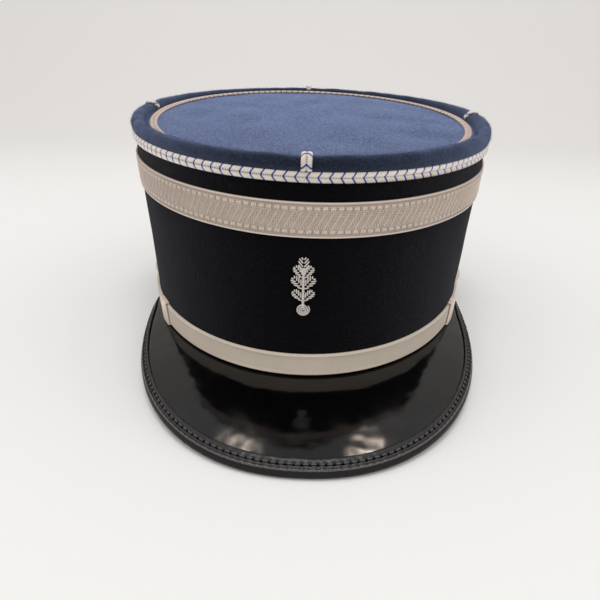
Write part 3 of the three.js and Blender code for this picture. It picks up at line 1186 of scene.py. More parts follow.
@dataclass(frozen=True)
class LaceFinish(Finish):
    """Woven metal lace."""

    metal: float = 0.0
    floats: float = 180.0
    rows: float = 130.0
    zigzag: float = 0.6
    relief: float = 0.00008

    def paint(self, nodes: Nodes, shader: Node) -> None:
        """Draws the weave in colour and relief, over faint patches.

        Args:
            nodes: The material's nodes.
            shader: The material's shader.
        """
        values = {"Floats": self.floats, "Rows": self.rows, "Zigzag": self.zigzag}
        weave = LaceWeave().place(nodes, self.lay_of(nodes), **values)
        patches = nodes.noise(self.place_of(nodes), 60.0, 3.0)
        tint = nodes.math("MULTIPLY_ADD", patches, 0.3, weave.outputs["Tint"])
        colour = nodes.blend(nodes.math("SUBTRACT", tint, 0.15), self.dark, self.light)
        nodes.link(colour, shader, "Base Color")
        set_inputs(shader, Metallic=self.metal)
        self.emboss(nodes, shader, weave.outputs["Height"], self.relief)


@dataclass(frozen=True)
class LeatherFinish(Finish):
    """Leather, glossy or plain."""

    grain: float = 0.00002
    grain_scale: float = 1400.0
    swell: float = 0.0002
    swell_scale: float = 30.0
    dusty: float = 0.02
    smudge: float = 0.1
    gloss: float = 0.5

    def paint(self, nodes: Nodes, shader: Node) -> None:
        """Draws the grain and swell, with a few specks of dust.

        Args:
            nodes: The material's nodes.
            shader: The material's shader.
        """
        place = self.place_of(nodes)
        values = {"Grain_scale": self.grain_scale, "Swell_scale": self.swell_scale}
        grain = LeatherGrain().place(nodes, place, **values)
        dust = Dust().place(nodes, place, Spacing_scale=110.0, Speck_size=self.dusty)
        colour = nodes.blend(grain.outputs["Grain"], self.light, self.dark)
        colour = nodes.blend(dust.outputs["Mask"], colour, (0.3, 0.29, 0.28))
        nodes.link(colour, shader, "Base Color")
        smudge = nodes.band(nodes.noise(place, 55.0, 3.0), 0.35, 0.75)
        rough = nodes.math("MULTIPLY_ADD", smudge, self.smudge, self.roughness)
        rough = nodes.math("MULTIPLY_ADD", dust.outputs["Mask"], 0.6, rough)
        nodes.link(rough, shader, "Roughness")
        set_inputs(shader, Specular_IOR_Level=self.gloss)
        broad = self.emboss(nodes, shader, grain.outputs["Swell"], self.swell)
        self.emboss(nodes, shader, grain.outputs["Grain"], self.grain, broad)


@dataclass(frozen=True)
class MetalFinish(Finish):
    """Stamped metal with a soft, slightly worn polish."""

    def paint(self, nodes: Nodes, shader: Node) -> None:
        """Varies the colour and gloss with handling.

        Args:
            nodes: The material's nodes.
            shader: The material's shader.
        """
        worn = nodes.noise(self.place_of(nodes), 400.0, 4.0)
        colour = nodes.blend(worn, self.dark, self.light)
        nodes.link(colour, shader, "Base Color")
        rough = nodes.math("MULTIPLY_ADD", worn, 0.2, self.roughness - 0.1)
        nodes.link(rough, shader, "Roughness")
        set_inputs(shader, Metallic=1.0)
        self.emboss(nodes, shader, worn, 0.00003)


@dataclass(frozen=True)
class PaintFinish(Finish):
    """A plain painted surface for the studio."""

    # Painted shade: the colour the sweep darkens to at the back.
    far_shade: Colour = (0.7, 0.7, 0.69)
    near_edge: float = 0.1
    far_edge: float = 1.5

    def paint(self, nodes: Nodes, shader: Node) -> None:
        """Varies the colour faintly, and darkens it towards the back as painted shade.

        Args:
            nodes: The material's nodes.
            shader: The material's shader.
        """
        place = self.place_of(nodes)
        patches = nodes.noise(place, 1.5, 2.0)
        depth = nodes.add("SeparateXYZ", {0: place}).outputs[1]
        # Painted shade: the colour darkens towards the back.
        shade = nodes.band(depth, self.near_edge, self.far_edge)
        colour = nodes.blend(patches, self.dark, self.light)
        nodes.link(nodes.blend(shade, colour, self.far_shade), shader, "Base Color")


NAVY = WoolFinish(
    "Navy wool", (0.0006, 0.0006, 0.0009), (0.0032, 0.0032, 0.004),
    nap=0.1, nap_roughness=0.45, nap_tint=(0.85, 0.85, 1.0), painted_sheen=(0.0062, 0.0062, 0.009),
    gloss=0.03, relief=0.0006, fibre_scale=1100.0,
)
BLUE = WoolFinish(
    "Blue wool", (0.01, 0.015, 0.03), (0.07, 0.092, 0.15), nap=0.3,
    nap_roughness=0.5, painted_sheen=(0.3, 0.39, 0.67), relief=0.0011, fibre_scale=1300.0,
)
# Painted shade: the roll takes a darker copy of the disc's wool, which is the same wool under any
# lamp.
SHADED_ROLL_BLUE = replace(
    BLUE, name="Blue wool on the roll", dark=(0.002, 0.003, 0.006), light=(0.016, 0.021, 0.037),
    painted_sheen=(0.17, 0.22, 0.37),
)
NAP = WoolFinish(
    "Blue wool nap", (0.018, 0.026, 0.052), (0.25, 0.33, 0.53), nap=0.2,
    painted_sheen=(0.28, 0.37, 0.62), lint=0.0,
)
# Painted shade: the roll's fibres take a darker copy of the disc's nap.
SHADED_ROLL_NAP = replace(
    NAP, name="Blue wool nap on the roll", dark=(0.006, 0.009, 0.02), light=(0.11, 0.14, 0.225),
    painted_sheen=(0.2, 0.26, 0.42),
)
CREAM_THREAD = ThreadFinish(
    "Cream braid thread", (0.68, 0.61, 0.53), (1.0, 0.96, 0.89), roughness=0.4
)
# Painted shade: the braid's core is darkened for the shadowed groove between the strands.
CORE_SHADE_THREAD = ThreadFinish(
    "Braid core darkened as painted shade", (0.05, 0.043, 0.036), (0.16, 0.14, 0.12), roughness=0.6
)
BLUE_THREAD = ThreadFinish(
    "Blue braid thread", (0.012, 0.04, 0.38), (0.05, 0.14, 0.78), roughness=0.5
)
ROSE_THREAD = ThreadFinish("Rose braid thread", (0.22, 0.15, 0.14), (0.4, 0.3, 0.27), roughness=0.5)
RING_THREAD = ThreadFinish(
    "Rose cream braid thread", (0.45, 0.35, 0.31), (0.9, 0.76, 0.69), roughness=0.45
)
GALON_LACE = LaceFinish(
    "Galon lace", (0.06, 0.045, 0.035), (0.6, 0.5, 0.42), roughness=0.45, floats=140.0, rows=110.0,
)
GALON_THREAD = ThreadFinish(
    "Galon thread", (0.42, 0.35, 0.29), (0.86, 0.76, 0.67), roughness=0.4, turns=250.0,
)
GALON_FLOAT = ThreadFinish(
    "Galon float", (0.36, 0.3, 0.245), (0.78, 0.68, 0.59), roughness=0.45, turns=200.0,
)
STRAP_LACE = LaceFinish(
    "Strap lace", (0.4, 0.35, 0.29), (0.7, 0.63, 0.53), roughness=0.5, floats=230.0,
    rows=9.0, zigzag=0.4, relief=0.00002,
)
SLIDE_LACE = LaceFinish(
    "Slide lace", (0.55, 0.45, 0.37), (0.9, 0.78, 0.67), roughness=0.45, floats=20.0,
    rows=210.0, zigzag=0.1, relief=0.00003,
)
BULLION = ThreadFinish(
    "Silver bullion", (0.6, 0.55, 0.48), (1.0, 0.98, 0.94), roughness=0.32, metal=0.12,
    turns=400.0, relief=0.0001,
)
BUTTON = MetalFinish("Dull gilt", (0.46, 0.38, 0.26), (0.7, 0.61, 0.46), roughness=0.32)
PATENT = LeatherFinish(
    "Patent leather", (0.0004, 0.0004, 0.0005), (0.0012, 0.0012, 0.0014),
    roughness=0.085, grain=0.000001, swell=0.0011, swell_scale=28.0, dusty=0.012, smudge=0.11,
)
EDGE_LEATHER = LeatherFinish(
    "Edge leather", (0.003, 0.003, 0.003), (0.014, 0.013, 0.013), roughness=0.3,
    grain=0.00005, grain_scale=1500.0, swell=0.0003, swell_scale=160.0,
)
# Painted highlight: the bead's copy of the edge leather is lighter, for the light line along the bead;
# its gloss is real.
BEAD_HIGHLIGHT_LEATHER = replace(
    EDGE_LEATHER, name="Polished edge leather", dark=(0.015, 0.0145, 0.0145),
    light=(0.06, 0.056, 0.055), roughness=0.14, grain=0.00003, gloss=0.7,
)
# Painted shade: the rolled edge's copy of the edge leather is darker, for the dark outer roll; its
# lower gloss is real.
ROLL_SHADE_LEATHER = replace(
    EDGE_LEATHER, name="Worn edge leather", dark=(0.0006, 0.0006, 0.0007),
    light=(0.003, 0.003, 0.003), roughness=0.34, gloss=0.25,
)
# Painted shade: the stitch holes' copy of the edge leather is darker still.
HOLE_SHADE_LEATHER = replace(
    ROLL_SHADE_LEATHER, name="Edge leather in the stitch holes", light=(0.001, 0.001, 0.001),
    roughness=0.6, gloss=0.05,
)
STITCH = ThreadFinish(
    "Black waxed thread", (0.02, 0.02, 0.022), (0.13, 0.13, 0.135), roughness=0.35
)


# Crown


@dataclass(frozen=True)
class Cap:
    """What every sub-assembly is built from."""

    form: CapForm
    roll: Roll
    peak: PeakForm
    standing: Standing


@dataclass
class Crown:
    """The navy body and the padded blue top."""

    cap: Cap
    stations: int = 360
    rows: int = 30
    hem: float = 0.9
    disc_thickness: float = 2.4
    roll_fibres: int = 26000
    disc_fibres: int = 20000
    fibre_lean: float = 0.42
    disc_fibre_lean: float = 0.5
    braid_room: float = 6.6
    tab_room: float = 3.2

    def build_body(self) -> Piece:
        """Makes the cloth wall, with a turned rim below and softly uneven faces.

        Returns:
            The body.
        """
        form = self.cap.form
        stations = self.stations // 2
        angle = np.linspace(0, TURN, stations + 1)[:-1]
        climb = np.linspace(0, 1, self.rows)
        _, _, outward = form.wall_frame(angle)

        def wall(out: float, seed: int, amount: float) -> Array:
            """Makes one face of the wall.

            Args:
                out: How far out it is.
                seed: Which unevenness it has.
                amount: How uneven it is.

            Returns:
                Its places, a row up the wall at each angle.
            """
            foot = form.on_rim(angle, out, self.hem)[:, None]
            head = form.on_top(angle, out, form.body_over_brow)[:, None]
            face = foot + (head - foot) * climb[:, None]
            lumps = waves(angle[:, None] * MEAN_RADIUS, climb[None] * 100, 45, seed)
            return face + outward[:, None] * (lumps * amount)[..., None]

        outer = wall(0.0, 3, 0.12)
        inner = wall(-form.wall, 5, 0.2)[:, ::-1]
        bend = np.linspace(0, math.pi, 9)[1:-1]
        half = form.wall / 2
        hem = [
            form.on_rim(angle, -half - half * math.cos(t), self.hem - self.hem * math.sin(t))
            for t in bend
        ]
        points = np.concatenate([outer, inner, np.stack(hem, 1)], 1)
        run = np.arange(stations + 1)[:, None] * CHART_ROUND / stations
        shape = Shape()
        shape.bar(points, chart_of(run, np.arange(points.shape[1] + 1) * 2.5), closed=True)
        return shape.piece("body_cloth", self.cap.standing, [NAVY.material()])

    def build_top(self) -> Piece:
        """Makes the top: seat, padded roll and recessed disc in one soft closed skin.

        Returns:
            The top.
        """
        form, roll = self.cap.form, self.cap.roll
        angle = np.linspace(0, TURN, self.stations + 1)[:-1][:, None]
        share = np.linspace(0, 1, self.rows)[None]
        out, _ = roll.skin(angle, share)
        lumps = waves(angle * MEAN_RADIUS, share * 16, 26, 11) * 0.22 * np.sin(share * math.pi)
        skin_out, skin_height = roll.skin(angle, share, lumps)
        under = form.disc.height(angle, roll.inner) - self.disc_thickness
        ones = np.ones_like(angle)
        foot = out[:, -1:] - 0.25
        foot_height = form.disc.height(angle, foot)
        seam = -form.gap
        outs = [ones * (roll.inner - 0.7), ones * (roll.inner + 1.2), ones * seam, ones * seam]
        heights = [under, np.maximum(under + 0.3, roll.seat), roll.seat * ones]
        heights += [(roll.shoulder - 0.1) * ones, skin_height, foot_height + 0.12]
        all_out = np.concatenate([*outs, skin_out, foot, foot - 0.8], 1)
        all_height = np.concatenate([*heights, foot_height - 0.05], 1)
        rings = form.on_top(np.broadcast_to(angle, all_out.shape), all_out, all_height)
        middle, normal = self.middle, form.top_normal
        spread = np.linspace(1, 0, 34)[1:-1]
        centre = middle + normal * form.disc.middle
        disc = centre + (rings[:, -1:] - centre) * spread[None, :, None]
        uneven = waves(disc[..., 0], disc[..., 1], 55, 21) * 0.35
        disc = disc + normal * (uneven * np.minimum(1, (1 - spread) * 6))[..., None]
        points = np.concatenate([rings, disc], 1)
        run = np.arange(self.stations + 1)[:, None] * CHART_ROUND / self.stations
        chart = chart_of(run, np.arange(points.shape[1]) * 2.0)
        shape = Shape()
        on_roll = np.arange(points.shape[1] - 1) < rings.shape[1] - 1
        numbers = shape.grid(points, chart, round_rows=True, finish=on_roll.astype(int))
        tip = centre + normal * float(uneven[:, -1].mean())
        bottom = middle + normal * (form.disc.middle - self.disc_thickness)
        shape.pole(numbers[:, -1], tip, chart[:-1, -1])
        shape.pole(numbers[:, 0], bottom, chart[:-1, -1])
        # Faces on the roll take the darker copy of the wool, as painted shade.
        finishes = [BLUE.material(), SHADED_ROLL_BLUE.material()]
        return shape.piece("top_cloth", self.cap.standing, finishes, crease=75)

    @property
    def middle(self) -> Array:
        """The middle of the upper oval."""
        return self.cap.form.brow_point(np.array([0, math.pi])).mean(0)

    def build_nap(self) -> Piece:
        """Makes the short fibres that stand out of the top's wool.

        Returns:
            The nap.
        """
        form, roll = self.cap.form, self.cap.roll
        draw = np.random.default_rng(7)
        shape = Shape()
        angle = draw.uniform(0, TURN, self.roll_fibres)
        share = draw.uniform(0.05, 0.97, self.roll_fibres)
        free = np.all([roll.from_tab(angle, tab) > self.tab_room for tab in Tab], 0)
        angle, share = angle[free], share[free]
        root = form.on_top(angle, *roll.skin(angle, share, -0.1))
        tip = form.on_top(angle, *roll.skin(angle, share, 0.2 + 0.55 * draw.random(len(angle))))
        spread = draw.normal(0, self.fibre_lean, (len(angle), 3))
        # Fibres on the roll take the darker copy of the nap, as painted shade.
        shape.fibres(root, tip + spread, finish=1)
        angle = draw.uniform(0, TURN, self.disc_fibres)
        inner = np.sqrt(draw.uniform(0, 0.985, self.disc_fibres))
        out = roll.inner - self.braid_room
        edge = form.on_top(angle, out, form.disc.height(angle, out))
        middle = self.middle + form.top_normal * form.disc.middle
        root = middle + (edge - middle) * inner[:, None] - form.top_normal * 0.3
        spread = draw.normal(0, self.disc_fibre_lean, (len(angle), 3))
        rise = form.top_normal * (0.65 + 0.4 * draw.random(len(angle)))[:, None]
        shape.fibres(root, root + rise + spread)
        finishes = [NAP.material(), SHADED_ROLL_NAP.material()]
        return shape.piece("top_nap", self.cap.standing, finishes, crease=180)

    def build(self) -> None:
        """Builds the body, the top and the top's nap."""
        settle(self.build_body(), Slot.NAVY_WOOL, "crown_body")
        top = settle(self.build_top(), Slot.BLUE_WOOL, "crown_top")
        settle(self.build_nap(), Slot.BLUE_WOOL)


# Braid


@dataclass(frozen=True)
class Bed:
    """What a braid lies on, whether it closes on itself, and which way its strands point."""

    surface: Surface
    length: float
    closed: bool = True
    apex: int = -1


@dataclass(frozen=True)
class Braid:
    """A two-lobed braid of slanted strands with one coloured strand in every repeat."""

    width: float = 3.8
    thickness: float = 1.2
    repeat: float = 4.2
    strands: int = 6
    slant: float = 0.8
    steps: int = 7
    station: float = 0.9
    cut: float = 0.08

    def lay(self, shape: Shape, bed: Bed) -> None:
        """Lays the braid's core and its strands.

        Args:
            shape: The piece they go into.
            bed: What they lie on.
        """
        length, closed = bed.length, bed.closed
        quarter = self.width / 4
        core = self.thickness * 0.7
        count = max(int(round(length / self.station)), 4)
        run = np.linspace(0, length, count + 1)
        along = run[:-1] if closed else run
        bend = np.linspace(0, math.pi, 8)
        for middle in (quarter, 3 * quarter):
            across = middle - quarter * 0.92 * np.cos(bend)
            lift = core * np.sin(bend) ** 0.8
            points = bed.surface(along[:, None], across[None], lift[None])
            # Finish 2 is the core, darkened as painted shade in the groove between the lobes.
            shape.bar(points, chart_of(run[:, None], np.arange(9) * 0.4), 2, 2, closed)
        repeats = max(int(round(length / self.repeat)), 1)
        pitch = length / repeats
        slot = pitch / self.strands
        starts = np.arange(repeats * self.strands) * slot
        first = 0 if closed else self.strands // 2
        coloured = np.arange(len(starts)) % self.strands == first
        for side in (-1, 1):
            for finish, chosen, wide, tall in (
                (0, ~coloured, slot * 0.41, 0.36), (1, coloured, slot * 0.2, 0.34),
            ):
                self._strands(shape, bed, starts[chosen], side, finish, wide, tall)

    def _strands(
        self, shape: Shape, bed: Bed, starts: Array, side: int, finish: int, wide: float, tall: float
    ) -> None:
        """Lays one kind of strand over one lobe.

        Args:
            shape: The piece they go into.
            bed: What they lie on.
            starts: Where each strand leaves the groove.
            side: Which lobe, -1 or 1.
            finish: The strands' material.
            wide: Half of a strand's width.
            tall: Half of its height.
        """
        bend = math.pi * np.linspace(0.12, 0.97, self.steps)
        away = self.width / 4 * (1 - np.cos(bend))
        across = self.width / 2 + side * away
        lift = self.thickness * 0.68 * np.sin(bend) ** 0.8
        along = starts[:, None] - bed.apex * self.slant * away[None]
        if not bed.closed:
            keep = (along.max(1) > 0.4) & (along.min(1) < bed.length - 0.4)
            along = np.clip(along[keep], self.cut, bed.length - self.cut)
        if not len(along):
            return
        taper = np.clip(np.sin(np.linspace(0.12, 0.9, self.steps) * math.pi) * 1.6, 0, 1)
        wide, tall = wide * taper, tall * taper
        shape.threads(bed.surface, along, across, lift, wide, tall, finish=finish)


@dataclass
class Braids:
    """The braids round the seam and on the disc, and the four tabs over the roll."""

    cap: Cap
    braid: Braid = Braid()
    ring_out: float = -7.5
    tab_lift: float = 0.34
    ring: Braid = Braid(width=3.4, thickness=1.25, repeat=4.0, strands=4, slant=0.7)

    def edge_bed(self) -> Bed:
        """Gives the bed over the seam.

        Returns:
            The bed.
        """
        form = self.cap.form
        path = Path(lambda t: form.on_top(t, 1.0, 1.9), 0, TURN)

        surface = spread(
            lambda along, across, lift: form.on_top(path.round(along), form.gap + lift, across)
        )
        return Bed(surface, path.length)

    def ring_bed(self) -> Bed:
        """Gives the bed on the disc, inside the roll.

        Returns:
            The bed.
        """
        form, start = self.cap.form, self.ring_out
        path = Path(lambda t: form.on_top(t, start - 1.9, form.disc.height(t, start)), 0, TURN)

        surface = spread(
            lambda along, across, lift: self.on_disc(path.round(along), start - across, lift)
        )
        return Bed(surface, path.length)

    def on_disc(self, angle: Array, out: Array, lift: Array) -> Array:
        """Returns places a little over the disc."""
        height = self.cap.form.disc.height(angle, out) + lift + 0.1
        return self.cap.form.on_top(angle, out, height)

    def tab_bed(self, tab: Tab) -> Bed:
        """Gives the bed over the roll at one place, from the edge braid to the disc.

        Args:
            tab: The tab there.

        Returns:
            The bed.
        """
        form, roll = self.cap.form, self.cap.roll
        middle = math.radians(tab.value)
        radius = reach_of(lambda t: form.on_top(t, 0, 0), middle)

        def line(share: Array) -> Array:
            """Returns the places over the roll at shares of the way over it."""
            angle = np.full_like(share, middle)
            return form.on_top(angle, *roll.skin(angle, share, 0.5))

        path = Path(line, 0.08, 0.995)

        surface = spread(
            lambda along, across, lift: form.on_top(
                middle + (across - self.braid.width / 2) / radius,
                *roll.skin(np.full_like(across, middle), path.at(along), lift + self.tab_lift),
            )
        )
        return Bed(surface, path.length, closed=False, apex=1)

    def build(self) -> None:
        """Builds the two rings and the four tabs."""
        cream, blue = CREAM_THREAD.material(), BLUE_THREAD.material()
        pale, rose = RING_THREAD.material(), ROSE_THREAD.material()
        # The core's material is darkened as painted shade in the braid's groove.
        core = CORE_SHADE_THREAD.material()
        rings = (
            ("edge_braid_strands", "edge_braid", self.edge_bed(), [cream, blue, core]),
            ("ring_braid_strands", "top_ring_braid", self.ring_bed(), [pale, rose, core]),
        )
        for (name, node, bed, finishes), braid in zip(rings, (self.braid, self.ring)):
            shape = Shape()
            braid.lay(shape, bed)
            piece = shape.piece(name, self.cap.standing, finishes, crease=80)
            settle(piece, Slot.BRAID, node)
        for tab in Tab:
            node = f"tab_{tab.name.lower()}"
            shape = Shape()
            self.braid.lay(shape, self.tab_bed(tab))
            name = f"{node}_strands"
            piece = shape.piece(name, self.cap.standing, [cream, blue, core], crease=80)
            settle(piece, Slot.BRAID, node)


# Galon


@dataclass
class Galon:
    """The wide lace band: selvedges, rows of raised squares, and slanted lines between them."""

    cap: Cap
    below: float = 7.2
    width: float = 13.7
    thickness: float = 0.8
    pitch: float = 3.05
    square_width: float = 2.0
    square_height: float = 1.35
    square_inset: float = 1.75
    line_rise: float = 1.75
    grain_rows: int = 9
    grain_lanes: int = 3
    stations: int = 540

    def build(self) -> None:
        """Builds the band as one piece."""
        form = self.cap.form
        low = -self.below - self.width
        path = Path(lambda t: form.over_brow(t, 1.1, low + self.width / 2), 0, TURN)
        length = path.length
        repeats = int(round(length / self.pitch))
        pitch = length / repeats

        def place(along: Array, across: Array, lift: Array) -> Array:
            """Returns places over the body, a little unevenly out from it."""
            out = form.gap + lift + waves(along, across, 60, 31) * 0.06
            return form.over_brow(path.round(along), out, low + across)

        shape, surface = Shape(), spread(place)
        face = self.thickness - 0.25
        across = np.array([0, 0.1, 0.5, 1.2, 1.75, 2.5, 4, 5.5, 6.85])
        lift = np.array([0, 0.35, face, face - 0.06, face, face + 0.04, face, face, face])
        across = np.append(across, self.width - across[-2::-1])
        lift = np.append(lift, lift[-2::-1])
        run = np.arange(self.stations + 1)[:, None] * length / self.stations
        points = surface(run[:-1], across, lift)
        shape.bar(points, chart_of(run, np.append(across, 0)), closed=True)
        self._selvedges(shape, surface, run, face)
        self._squares(shape, surface, repeats, pitch, face)
        self._lines(shape, surface, repeats, pitch, face)
        finishes = [f.material() for f in (GALON_LACE, GALON_THREAD, GALON_FLOAT)]
        piece = shape.piece("galon_lace", self.cap.standing, finishes, crease=80)
        settle(piece, Slot.LACE, "galon")

    def _selvedges(self, shape: Shape, surface: Surface, run: Array, face: float) -> None:
        """Adds the corded edges.

        Args:
            shape: The piece.
            surface: The band's surface.
            run: Lengths along the band, once round.
            face: The height of its face.
        """
        bend = np.arange(6) * TURN / 6
        inset, half_width, half_height = 0.38, 0.34, 0.24
        for middle in (inset, self.width - inset):
            across = middle + half_width * np.cos(bend)
            lift = face + 0.02 + half_height * np.sin(bend)
            points = surface(run[:-1], across, lift)
            shape.bar(points, chart_of(run, np.arange(7) * 0.37), 1, closed=True)

    def _squares(
        self, shape: Shape, surface: Surface, repeats: int, pitch: float, face: float
    ) -> None:
        """Adds the raised squares, each of four short floats side by side.

        Args:
            shape: The piece.
            surface: The band's surface.
            repeats: How many there are in a row.
            pitch: How far apart they are.
            face: The height of the band's face.
        """
        floats = 4
        steps = np.linspace(0, 1, 4)
        arch = np.sin(steps * math.pi)
        taper = np.array([0.75, 1, 1, 0.75])
        half = self.square_height / 2
        draw = np.random.default_rng(61)
        for row in (self.square_inset + half, self.width - self.square_inset - half):
            middle = (np.arange(repeats)[:, None] + 0.5) * pitch
            offset = ((np.arange(floats) + 0.5) / floats - 0.5) * self.square_width
            along = (middle + offset[None]).reshape(-1, 1) + np.zeros(4)
            along = along + draw.normal(0, 0.035, (len(along), 1))
            across = row + (steps[None] - 0.5) * self.square_height
            across = across + draw.normal(0, 0.06, (len(along), 1))
            lift = face + 0.02 + (0.2 + draw.normal(0, 0.035, (len(along), 1))) * arch[None]
            wide = self.square_width / floats * 0.45
            shape.threads(surface, along, across, lift, wide * taper, 0.18 * taper, 4, 1)

    def _lines(
        self, shape: Shape, surface: Surface, repeats: int, pitch: float, face: float
    ) -> None:
        """Adds the slanted lines between the rows of squares, and the floats between the lines.

        Args:
            shape: The piece.
            surface: The band's surface.
            repeats: How many lines there are.
            pitch: How far apart they are.
            face: The height of the band's face.
        """
        start = self.square_inset + self.square_height + 0.1
        end = self.width - start

        def slanted(low: float, high: float, count: int) -> tuple[Array, Array]:
            """Returns distances across the band, and how far along a line leans there."""
            across = np.linspace(low, high, count)
            return across, (across - self.width / 2) / self.line_rise

        across, run = slanted(start, end, 8)
        along = np.arange(repeats)[:, None] * pitch + run[None]
        taper = np.array([0.4, 1, 1, 1, 1, 1, 1, 0.4])
        lift = np.full((1, 8), face + 0.1)
        shape.threads(surface, along, across, lift, 0.2 * taper, 0.22 * taper, 4, 1)
        taper = np.array([0.5, 1, 0.5])
        lift = np.array([[face - 0.05, face + 0.05, face - 0.05]])
        step = (end - start) / self.grain_rows
        draw = np.random.default_rng(62)
        for row in range(self.grain_rows):
            low = start + row * step
            for lane in range(self.grain_lanes):
                shift = (lane + 0.75 + 0.25 * (row % 2)) / (self.grain_lanes + 0.6)
                across, run = slanted(low + 0.1, low + step - 0.1, 3)
                along = (np.arange(repeats)[:, None] + shift) * pitch + run[None]
                along = along + draw.normal(0, 0.07, (repeats, 1))
                raised = lift + draw.normal(0, 0.035, (repeats, 1))
                shape.threads(surface, along, across, raised, 0.21 * taper, 0.17 * taper, 4, 2)


# Raised embroidery


@dataclass
class Sprig:
    """A plain embroidered sprig of leaves over a small coil, in silver bullion."""

    cap: Cap
    foot: float = 33.5
    height: float = 24.0
    leaf_length: float = 8.0
    leaf_width: float = 4.3
    thread: float = 0.27
    stitches: int = 5

    def build(self) -> None:
        """Builds the stem, seven leaves and the coil as one piece."""
        shape = Shape()
        self._stem(shape)
        top = self.height
        self._leaf(shape, top * 0.62, 0.0, 1.0)
        for rise, lean, size in ((0.16, 44, 0.8), (0.37, 40, 0.9), (0.57, 36, 0.8)):
            for side in Side:
                self._leaf(shape, top * rise, side.value * lean, size)
        self._coil(shape)
        piece = shape.piece("badge_bullion", self.cap.standing, [BULLION.material()], crease=80)
        settle(piece, Slot.THREAD, "front_badge")

    def _place(self, x: Array, y: Array, lift: Array) -> Array:
        """Gives places on the body's front.

        Args:
            x: Distances across the badge.
            y: Distances up it.
            lift: Distances out from the body.

        Returns:
            The places, in the shape of the arguments together.
        """
        form = self.cap.form
        zero = np.zeros(1)
        _, up, out = (v[0] for v in form.wall_frame(zero))
        base = form.over_rim(zero, zero + form.gap, zero + self.foot)[0]
        across = np.cross(up, out)
        parts = np.broadcast_arrays(x, y, lift)
        x, y, lift = (np.asarray(part)[..., None] for part in parts)
        return base + across * x + up * y + out * lift

    def _add(self, shape: Shape, x: Array, y: Array, lift: Array, radius: float) -> None:
        """Adds coiled threads.

        Args:
            shape: The piece.
            x: For each thread, distances across the badge.
            y: Distances up it.
            lift: Distances out from the body.
            radius: The thread's radius.
        """
        steps = x.shape[1]
        paths = self._place(x, y, lift)
        _, _, out = (v[0] for v in self.cap.form.wall_frame(np.zeros(1)))
        tangent = np.gradient(paths, axis=1)
        beside = np.cross(tangent, out)
        coil = 1 + 0.07 * np.cos(np.arange(steps) * math.pi)
        ends = np.clip(np.sin(np.linspace(0.06, 0.94, steps) * math.pi) * 4, 0, 1)
        shape.strands(paths, beside, radius * coil * ends, radius * coil * ends, sides=7)

    def _stem(self, shape: Shape) -> None:
        """Twists two threads into the stem.

        Args:
            shape: The piece.
        """
        steps = np.linspace(0, 1, 100)[None]
        y = steps * self.height * 0.72 + 0.5
        for phase in (0, math.pi):
            turn = steps * TURN * 6 + phase
            self._add(shape, 0.3 * np.cos(turn), y, 0.62 + 0.25 * np.sin(turn), 0.3)

    def _leaf(self, shape: Shape, y: float, lean: float, size: float) -> None:
        """Adds a leaf of slanted stitches on both sides of its midrib.

        Args:
            shape: The piece.
            y: Where it starts up the badge.
            lean: Its lean from upright, in degrees.
            size: Its size.
        """
        length = self.leaf_length * size
        width = self.leaf_width * size
        grow = np.linspace(0.08, 0.8, self.stitches)[:, None]
        steps = np.linspace(0, 1, 14)[None]
        turn = math.radians(lean)
        for side in (-1, 1):
            outline = np.sin(math.pi * np.minimum(grow + 0.12, 1)) ** 0.7 * width / 2
            out = side * (0.3 + (outline - 0.3) * steps)
            up = length * grow + outline * steps
            lift = 0.45 + 0.45 * np.cos((steps - 0.2) * math.pi * 0.55)
            across = out * math.cos(turn) + up * math.sin(turn)
            rise = y - out * math.sin(turn) + up * math.cos(turn)
            self._add(shape, across, rise, lift, self.thread)

    def _coil(self, shape: Shape) -> None:
        """Winds a thread into a low domed coil at the foot.

        Args:
            shape: The piece.
        """
        steps = np.linspace(0, 1, 260)[None]
        radius = 0.3 + 2.4 * steps
        turn = steps * TURN * 3.1
        lift = 0.45 + 0.75 * np.cos(steps * math.pi / 2)
        self._add(shape, radius * np.cos(turn), -0.2 + radius * np.sin(turn), lift, 0.3)


# Strap, slides and buttons


